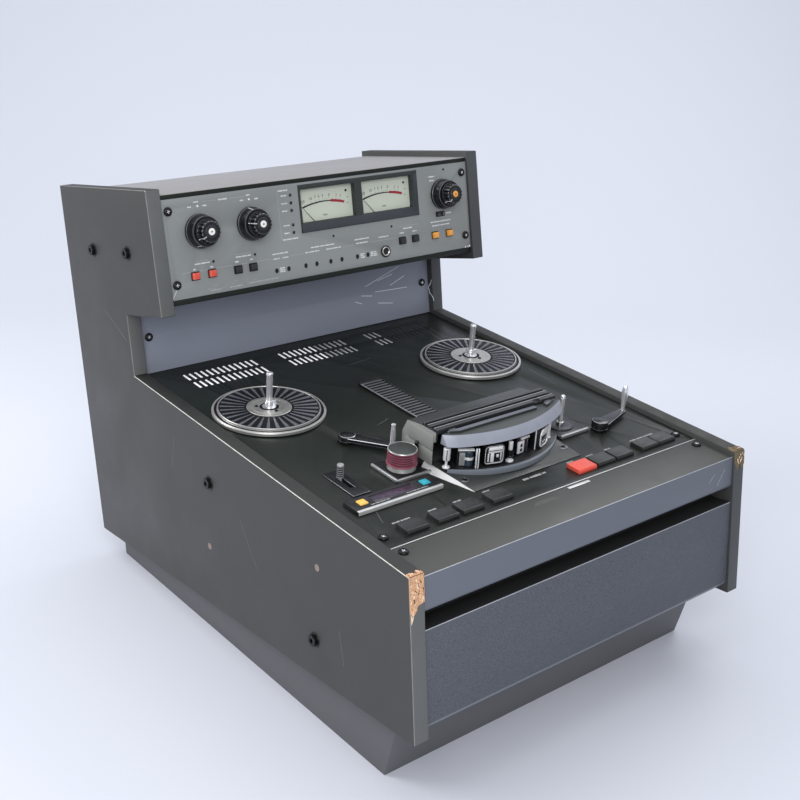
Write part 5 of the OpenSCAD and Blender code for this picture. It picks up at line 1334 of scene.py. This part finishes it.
class TAPE_OT_heads(bpy.types.Operator):
    """Head base, heads and guides, head housing, splicing block and the flip-up visor"""
    bl_idname = "tape.heads"
    bl_label = "Heads"

    def execute(self, context):
        flat_or_edge = faces_and_edges("steel_sprayed_head_dark", "steel_edge_bare_and_highlit", 0.9)

        def base_finish(centre, normal):
            x, d, h = centre
            if normal.z < 0.9 and abs(math.hypot(x, d - HEAD_ARC_D) - PLATFORM_R) < 1.2 and d < 170:
                return "steel_sprayed_platform"
            if h > 8.6:
                return "abs_moulded_black"
            return flat_or_edge(centre, normal)
        rounded_node("head_base", 0.5, base_finish, local=DECK)
        trim = Build("head_base_flank", DECK)
        trim.add(hull([(-84.2, 103, 0.1), (-83.6, 103.4, 0.9), (-93.6, 179, 8.2), (-94.6, 179, 8.2),
                       (-103, 176, 0.1), (-94, 179, 0.1)]), "aluminium_bar_satin")
        trim.done("head_paint")

        # Sides of the housing get the grey painted lighter as light
        def housing_finish(centre, normal):
            if centre.y < 163 and abs(abs(centre.x) - HINGE_X) < 6:
                return "steel_sprayed_visor_top"
            return "steel_sprayed_head_grey_painted_lit" if abs(normal.x) > 0.7 else "steel_sprayed_head_dark"
        rounded_node("head_housing", 0.6, housing_finish, local=DECK)
        # Cheeks in the same grey, painted lighter as light
        cheek = Build("head_housing_cheeks", DECK)
        for x in (-95.6, 84.0):
            cheek.add(box((x, 166, 9), (x + 1.6, 214, 26), 0.4), "steel_sprayed_head_grey_painted_lit")
            cheek.add(box((x, 166, 27), (x + 1.6, 208, 45), 0.4), "steel_sprayed_head_grey_painted_lit")
        cheek.done("head_paint")

        def rail_finish(centre, normal):
            if centre.z < 52.5 and normal.z > 0.9:
                return "aluminium_anodised_black"
            return "abs_moulded_charcoal" if max(abs(n) for n in normal) > 0.9 else "steel_edge_bare_and_highlit"
        rounded_node("splicing_block", 0.35, rail_finish, local=DECK)
        grooves = Build("splicing_block_grooves", DECK)
        for d in (167.9, 178.9):
            grooves.add(box((-93.6, d, 51.6), (91.6, d + 4.4, 51.9)), "aluminium_anodised_black")
            grooves.add(box((-93.8, d - 0.9, 53.9), (91.8, d - 0.3, 54.15), 0.08), "aluminium_bar_satin")
        grooves.done("head_paint")

        stack = Build("tape_heads_dressed", DECK)

        def stand(x, r):
            """Place of a head's face on the platform, at a radius from the arc's centre."""
            return shift(x, HEAD_ARC_D - math.sqrt(r * r - x * x), 9.5, math.degrees(math.asin(x / r)))
        # The bright finish is painted highlight
        bright, black = "steel_lapped_painted_highlight", "abs_polished_black"
        # Erase head: ribbed screen beside a dark round face, under a bright plate
        at = stand(-67, 130)
        stack.add(box((-10, 4.5, 0), (10, 19, 24.4), 0.8), black, at)
        stack.add(box((-9.4, 0.4, 20.4), (9.4, 17, 22.2), 0.3), bright, at)
        for k in range(5):
            stack.add(
                box((-7.0 + 1.3 * k, 2.2, 1.5), (-6.2 + 1.3 * k, 5, 17.5), 0.15), "aluminium_bar_satin", at)
        stack.add(lathe([(5.6, 0.8), (5.9, 1.2), (5.9, 18.6), (5.6, 19), (0, 19), (0, 0.8)], 48),
                  "aluminium_anodised_blue", at @ shift(3.9, 6.4))
        stack.add(lathe([(5.9, 8.4), (6.05, 8.6), (6.05, 11.6), (5.9, 11.8)], 48, ring=True), bright,
                  at @ shift(3.9, 6.4))
        # Record head: bright block in a rounded black frame
        at = stand(-36, 130)
        stack.add(prism(oblong(24, 17, (0, 10), 4, 6), 0.6, 24.4, 0.6), black, at)
        face = at @ Matrix.Translation((0, 1.6, 13.6)) @ Matrix.Rotation(math.pi / 2, 4, "X")
        stack.add(border(oblong(26.4, 25, r=5), oblong(23.8, 22.4, r=4), 0, 1.8, 0.3), black, face)
        stack.add(border(oblong(23.4, 22, r=3.9), oblong(22.0, 20.6, r=3.3), 0, 1.3, 0.2), bright, face)
        for x, z, w, tall in ((1.2, 6.0, 17.4, 7.4), (-2.6, -3.4, 4.0, 11.2), (4.2, -1.8, 3.0, 3.4),
                              (-7.4, -3.2, 1.6, 10.4), (8.4, -3.2, 1.2, 9.6)):
            stack.add(slab(w, tall, 0, 1.7, 0.35, (x, z)), bright, face)
        stack.add(slab(16, 0.8, 1.5, 1.85, 0.1, (1.2, 5.4)), black, face)
        # Play heads: a plate with two windows, and a framed block
        at = stand(13, 122.5)
        stack.add(box((-9.8, 2.4, 0), (10.4, 18, 24.4), 0.8), black, at)
        stack.add(box((-9.0, 0.5, 2.4), (1.4, 3, 17.4), 0.5), bright, at)
        for z in (4.6, 10.4):
            stack.add(box((-5.6, 0.3, z), (-2.0, 1.2, z + 3.8), 0.2), black, at)
        stack.add(box((-4, 0.2, 19.2), (9.8, 16, 22.0), 0.4), bright, at)
        stack.add(box((7.6, 1.4, 1), (8.6, 4, 18.4), 0.2), "steel_chromed", at)
        at = stand(49, 129)
        stack.add(prism(oblong(22, 16, (0, 9.4), 4, 6), 0.6, 24.4, 0.6), black, at)
        face = at @ Matrix.Translation((0, 1.4, 12.4)) @ Matrix.Rotation(math.pi / 2, 4, "X")
        stack.add(border(oblong(23, 22.4, r=6), oblong(20.4, 19.8, r=5), 0, 1.6, 0.3), bright, face)
        stack.add(slab(15, 7, 0, 1.5, 0.4, (0, 6.6)), bright, face)
        stack.add(slab(9.6, 1.8, 0, 1.4, 0.3, (0.4, -5.4)), "aluminium_bar_satin", face)
        for x, r in ((-67, 130), (-36, 130), (13, 122.5), (49, 129)):
            for across_x in (-5.6, 5.6):
                stack.add(
                    dome_screw(1.6, 1.0), "steel_zinc_plated", stand(x, r) @ shift(across_x, 14, 24.2))
        # Screens between the heads, edge on
        for x, r, bars in ((-57.6, 133.5, (-1.3, 1.3)), (34, 125, (0,))):
            for bar in bars:
                stack.add(box((bar - 0.7, 0, 0), (bar + 0.7, 3, 24.4), 0.3), bright, stand(x, r))
            stack.add(box((-0.8, 1, 0), (0.8, 18, 24), 0.1), black, stand(x, r))
        # Guides: a bright sleeve on a thin stem, a flanged spool and plain posts
        stack.add(lathe([(4.4, 0), (4.4, 1.2), (3.6, 1.8), (1.5, 2.0), (1.5, 9.4), (3.9, 9.8), (4.1, 10.4),
                         (4.1, 24.0), (3.6, 24.4), (0, 24.4), (0, 0)], 40), bright, stand(-85.5, 131))
        # A black strip down the front of the sleeve: a painted reflection
        stack.add(box((-0.5, -4.3, 10.2), (0.5, -3.6, 23.6), 0.1), black, stand(-85.5, 131))
        stack.add(lathe([(4.6, 0), (4.6, 1.6), (3.4, 2.4), (2.4, 3.0), (2.4, 14), (2.6, 14.4), (2.6, 24.4),
                         (0, 24.4), (0, 0)], 40), bright, stand(-12, 126))
        stack.add(lathe([(2.3, 5.2), (4.4, 5.4), (4.4, 6.8), (3.6, 7.4), (3.6, 12.6), (4.4, 13.2),
                         (4.4, 14.6), (2.3, 14.8)], 40, ring=True), black, stand(-12, 126))
        stack.add(lathe([(3.4, 0), (3.4, 1.0), (2.6, 1.4), (2.6, 24.4), (0, 24.4), (0, 0)], 40), bright,
                  stand(71, 126))
        stack.done("head_chrome", "case", ("tape_heads",))
        # Lip of the platform, fullest in the middle
        sweep = [math.radians(-130 + 2 * i) for i in range(41)]
        swell = [PLATFORM_R + 3.2 * math.sin(math.pi * i / 40) ** 0.7 for i in range(41)]
        outline = [(r * math.cos(a), HEAD_ARC_D + r * math.sin(a)) for a, r in zip(sweep, swell)] \
            + [(134.4 * math.cos(a), HEAD_ARC_D + 134.4 * math.sin(a)) for a in sweep[::-1]]
        lip = Build("head_platform_lip", DECK)
        lip.add(prism(outline, 2.4, 9.0, 0.5, 2, 50), "steel_sprayed_platform")
        lip.done("head_paint")

        def visor_finish(centre, normal):
            return "steel_sprayed_visor_top" if normal.z > 0.8 else "steel_sprayed_lavender"
        hood = softened("head_visor", 0.5, 3)
        hood.transform(DECK.inverted())
        # Its top stands a little lower than the solid's, its front edge a little further out and
        # its left end a little further in
        for v in hood.verts:
            arc = math.hypot(v.co.x, v.co.y - VISOR_ARC_D)
            pin = math.hypot(v.co.y - HINGE_D, v.co.z - HINGE_H) < 1.6 and abs(abs(v.co.x) - HINGE_X) < 8
            if v.co.z > 44 and not pin:
                ahead = 3 * min(max((arc - 180.5) / 3, 0), 1)
                v.co += Vector((ahead * v.co.x / arc, ahead * (v.co.y - VISOR_ARC_D) / arc, -2.6))
            if v.co.x < -80:
                v.co.x += 4 * (-80 - v.co.x) / 13
        visor = Build("head_visor_dressed", DECK).add(hood, visor_finish)
        # Strip in front of the hinge, broken by a gap for a finger
        for plan in ([(-80.9, 156.3), (-74, 153.0), (-69, 150.8), (51, 150.8), (51, 156.3)],
                     [(67, 150.8), (69, 150.8), (74, 153.0), (80.9, 156.3), (67, 156.3)]):
            visor.add(prism(plan, 49, 51.6, 0.15), "steel_sprayed_visor_top")
            visor.add(prism(plan, 51.5, 52.3, 0.15), "steel_sprayed_slate")
        visor.done(SLOTS["head_visor"], "head_visor", ("head_visor",))
        return {"FINISHED"}


class TAPE_OT_keys(bpy.types.Operator):
    """Nine transport keys"""
    bl_idname = "tape.keys"
    bl_label = "Transport keys"

    def execute(self, context):
        names = ("edit", "cue", "speed", "reel_size", "record", "rewind", "forward", "stop", "play")
        for x, name in zip(KEYS, names):
            node = name + "_key"
            red = name == "record"
            cap = Build(node + "_dressed", deck(x, KEY_D))
            side = [(-10.5, -6), (10.5, -6), (10.5, 4.5), (10.0, 5.0), (6, 4.7), (0, 4.55), (-5.5, 4.6),
                    (-7.9, 4.9), (-8.6, 4.8), (-10.5, 2.6)]
            cap.add(prism(side, -14.5, 14.5, 0.5, 2, 35), "abs_moulded_red" if red else "abs_moulded_key",
                    ALONG_X)
            cap.done("red_key_plastic" if red else "key_plastic", node, (node,))
        # Black rings in the gaps round the keys: painted shade
        gap_shades = Build("key_gaps_painted_shade", DECK)
        for x in KEYS:
            gap_shades.add(border(oblong(31, 23, (x, KEY_D)), oblong(29.5, 21.5, (x, KEY_D)), -0.6, 0.12),
                      "abs_moulded_black")
        gap_shades.done("deck_paint")
        return {"FINISHED"}


class TAPE_OT_deck_trim(bpy.types.Operator):
    """Seam strip, vent louvres, cable duct and the deck's print"""
    bl_idname = "tape.deck_trim"
    bl_label = "Deck trim"

    def execute(self, context):
        look = context.scene.tape_deck
        strip = Build("deck_seam_strip", DECK)
        strip.add(box((-241.2, 58.1, -0.4), (241.2, 59.3, 0.35), 0.2), "aluminium_bar_satin")
        strip.add(box((-241.2, 56.7, -0.4), (241.2, 57.9, 0.05)), "abs_moulded_black")
        strip.done("deck_paint")
        # Louvres in painted light and shade, brightest on the left
        louvres = Build("vent_louvres", DECK)
        for group, tones in ((-147, ("louvre_painted_lit",) * 13),
                             (0, ("louvre_painted_lit",) * 7 + ("louvre_painted_half_lit",) * 6),
                             (147, ("louvre_painted_half_lit",) * 3 + ("louvre_painted_shade",) * 10)):
            for k, tone in enumerate(tones):
                x = group + (k - 6) * VENT_PITCH
                for d in (VENT_REAR_D - 63, VENT_REAR_D - 35.5):
                    blade = prism([(-1.85, -1.5), (1.85, -0.9), (1.85, -0.4), (-1.85, -1.0)], 0, 20.2, 0.1)
                    louvres.add(blade, tone, shift(x, d + 20.35, 0) @ Matrix.Rotation(math.pi / 2, 4, "X"))
        louvres.done("deck_paint")

        def duct_finish(centre, normal):
            if normal.z < 0.8 or centre.z < 2:
                return "abs_moulded_black"
            return "abs_moulded_grey" if centre.z < 2.8 or centre.x < -18 else "abs_moulded_black"
        rounded_node("cable_duct", 0.25, duct_finish, local=DECK)
        rim = Build("cable_duct_rim", DECK)
        rim.add(box((-20.4, 226, 2.9), (-18.2, 401, 3.15), 0.08), "abs_moulded_pale_grey")
        rim.done(SLOTS["cable_duct"])
        ink = Build("deck_print", DECK)
        for i, x in enumerate(KEYS):
            ink.add(small_print(x - 1, 98, 24 if i == 0 else 11, look.print_height, 40 + i),
                    "ink_printed_faint")
        ink.add(small_print(186, 98, 30, look.print_height, 284), "ink_printed_faint")
        ink.add(small_print(0.5, 94.8, 37, 3.8, 91), "ink_printed_faint")
        for row in range(3):
            ink.add(small_print(-30, 43.6 + 2.2 * row, 40 - 6 * row, 1.5, 70 + row), "ink_printed_ghost")
        ink.done("deck_paint")
        # Bare plate on the apron's flat top
        plate = Build("apron_plate", DECK)
        plate.add(slab(34, 4.2, 0.0, 0.3, 0.1, (29, 53.0)), "aluminium_bar_satin")
        plate.done("deck_paint")
        return {"FINISHED"}


class TAPE_OT_rear(bpy.types.Operator):
    """Audio sockets, mains inlet, fuse and a bare plate on the rear panel"""
    bl_idname = "tape.rear"
    bl_label = "Rear"

    def execute(self, context):
        piece = Build("sockets_dressed")
        for x in (-67.5, -22.5, 22.5, 67.5):
            place = rear(x, 105)
            piece.add(prism(oblong(26, 31, r=3), 0, 2, 0.4), "steel_zinc_plated", place)
            piece.add(lathe([(8.8, 1.8), (11, 1.8), (11, 4.6), (10.6, 5), (9.2, 5), (8.8, 4.4)], 48,
                            ring=True), "steel_zinc_plated", place)
            piece.add(lathe([(10, -20), (10, 0), (8.9, 0), (8.9, 3.6), (0, 3.6), (0, -20)], 48),
                      "abs_moulded_black", place)
            for a in (90, 210, 330):
                at = shift(5 * math.cos(math.radians(a)), 5 * math.sin(math.radians(a)))
                piece.add(lathe([(1.9, 3.5), (1.9, 3.9), (1.3, 3.9), (1.1, 3.6), (0, 3.6)], 16),
                          "nickel_plated_bright", place @ at)
            for sx, sy in ((-10, 12.5), (10, -12.5)):
                piece.add(dome_screw(2.2, 1.2), "steel_blackened", place @ shift(sx, sy, 1.9))
        place = rear(-165, 95)
        piece.add(border(oblong(50, 28, r=4), oblong(24, 16, r=3), 0, 2.5, 0.4), "abs_moulded_black", place)
        piece.add(border(oblong(28, 20, r=2), oblong(24, 16, r=3), -22, 0), "abs_moulded_black", place)
        piece.add(slab(25, 17, -15, -14), "abs_moulded_black", place)
        for x, s in ((-7, -2), (0, 3), (7, -2)):
            piece.add(slab(2, 4.6, -14, -2, 0.4, (x, s)), "nickel_plated_bright", place)
        for sx in (-20, 20):
            piece.add(dome_screw(2.4, 1.4), "steel_blackened", place @ shift(sx, 0, 2.4))
        place = rear(-165, 140)
        piece.add(lathe([(5, -25), (5, 0), (8, 0), (8, 1.4), (6.8, 1.8), (6.8, 6.4), (6.3, 7), (0, 7),
                         (0, -25)], 40, fluted(12, 0.5, 1.9, 6.6, 6.5)), "abs_polished_black", place)
        piece.add(slab(9, 1.4, 6.9, 7.08), "abs_moulded_grey", place)
        piece.done("black_plastic", "case", ("sockets",))
        plate = Build("rear_plate_and_screws")
        plate.add(prism(oblong(90, 42, (134, 105), 2), 0, 0.8, 0.25), "aluminium_brushed", rear())
        for x, s in [(x, s) for x in (-228, 0, 228) for s in (14, 250, 440)]:
            plate.add(dome_screw(3.4, 2.0), "steel_blackened", rear(x, s))
        for i in range(14):
            plate.add(prism(oblong(150, 3.2, (0, 330 + 7 * i), 1.4), -0.1, 0.35, 0.15),
                      "steel_sprayed_matt_black", rear())
        plate.done("dark_paint")
        return {"FINISHED"}


# Settings

def colour_setting(name, description, code):
    """Colour property, its default given as an sRGB hex value."""
    return FloatVectorProperty(name=name, description=description, subtype="COLOR", default=linear(code))


def length_setting(name, description, default, low, high):
    """Length property in millimetres."""
    return FloatProperty(name=name, description=description + ", in mm", default=default, min=low, max=high)


class TapeColours(bpy.types.PropertyGroup):
    """Main colours"""
    laminate: colour_setting("Laminate", "Side panels", "#3b3b3a")
    blue_grey: colour_setting("Blue grey", "Apron", "#5f646e")
    # The apron's blue grey, painted lighter as light
    riser: colour_setting("Riser", "Riser behind the deck", "#868b99")
    deck: colour_setting("Deck", "Deck plate", "#191e1a")
    panel: colour_setting("Panel", "Electronics panel", "#838786")
    cover: colour_setting("Cover", "Top cover", "#858383")
    front: colour_setting("Front", "Textured front panel", "#4b4f57")
    red: colour_setting("Red", "Red key and buttons", "#d8503f")
    orange: colour_setting("Orange", "Orange buttons", "#e8a048")
    roller: colour_setting("Roller", "Counter roller", "#9c5c6c")


class TapeCase(bpy.types.PropertyGroup):
    """Edges and wear of the case, in millimetres"""
    panel_rounding: length_setting("Panel rounding", "Rounding of the board edges", 1.0, 0.2, 3)
    sheet_rounding: length_setting("Sheet rounding", "Rounding of the folded sheets", 0.7, 0.2, 1)
    apron_turn: length_setting("Apron turn", "Radius of the apron's lower turn", 6.0, 2.5, 9)
    chip_height: length_setting("Chip", "Height of the broken corner", 44.0, 5, 80)


class TapePanel(bpy.types.PropertyGroup):
    """Print and dials of the electronics panel, in millimetres"""
    print_height: length_setting("Print", "Height of the small print", 1.7, 1, 3)
    digit_size: length_setting("Digits", "Size of the dials' numerals", 5.4, 2, 6)
    dial_height: FloatProperty(
        name="Dial", description="Place of the dial cards behind the panel's face, in mm", default=-7.95)


class TapeDeck(bpy.types.PropertyGroup):
    """Details of the deck"""
    mat_ribs: IntProperty(
        name="Mat ribs", description="Ribs on each reel table's mat", default=32, min=12, max=72)
    print_height: length_setting("Print", "Height of the small print", 2.4, 1, 3)


class TapeStage(bpy.types.PropertyGroup):
    """Light and view"""
    lens: FloatProperty(
        name="Lens", description="Focal length of the photograph's view, in millimetres", default=53.7)
    camera_at: FloatVectorProperty(name="Camera", description="Where the camera stands",
                                   subtype="TRANSLATION", unit="LENGTH", default=(-0.8949, -1.1364, 0.8515))
    room_colour: colour_setting("Room", "Colour of the room's light", "#e8ebf4")
    room_light: FloatProperty(name="Room light", description="Strength of the room's light", default=0.62)
    overhead_light: FloatProperty(
        name="Overhead", description="Power of the light above, in watts", default=26.0)
    front_light: FloatProperty(
        name="Front", description="Power of the light in front, in watts", default=27.0)
    right_light: FloatProperty(
        name="Right", description="Power of the light on the right, in watts", default=12.0)
    left_light: FloatProperty(
        name="Left", description="Power of the light on the left, in watts", default=24.0)


OPERATORS = (TAPE_OT_finishes, TAPE_OT_stage, TAPE_OT_case, TAPE_OT_wear, TAPE_OT_fasteners, TAPE_OT_panel,
             TAPE_OT_meters, TAPE_OT_knobs, TAPE_OT_buttons, TAPE_OT_reels, TAPE_OT_transport,
             TAPE_OT_heads, TAPE_OT_keys, TAPE_OT_deck_trim, TAPE_OT_rear)
SETTINGS = {"tape_colours": TapeColours, "tape_case": TapeCase, "tape_panel": TapePanel,
            "tape_deck": TapeDeck, "tape_stage": TapeStage}


class TAPE_PT_panel(bpy.types.Panel):
    """Lists the builders"""
    bl_label = "Tape recorder"
    bl_idname = "TAPE_PT_panel"
    bl_space_type = "VIEW_3D"
    bl_region_type = "UI"
    bl_category = "Tape recorder"

    def draw(self, context):
        for operator in OPERATORS:
            self.layout.operator(operator.bl_idname)


CLASSES = (*SETTINGS.values(), *OPERATORS, TAPE_PT_panel)


def register():
    for cls in CLASSES:
        bpy.utils.register_class(cls)
    for name, group in SETTINGS.items():
        setattr(bpy.types.Scene, name, PointerProperty(type=group))


def unregister():
    for name in SETTINGS:
        delattr(bpy.types.Scene, name)
    for cls in reversed(CLASSES):
        bpy.utils.unregister_class(cls)


def main():
    """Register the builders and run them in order."""
    register()
    for operator in OPERATORS:
        group, name = operator.bl_idname.split(".")
        getattr(getattr(bpy.ops, group), name)()


if __name__ == "__main__":
    main()
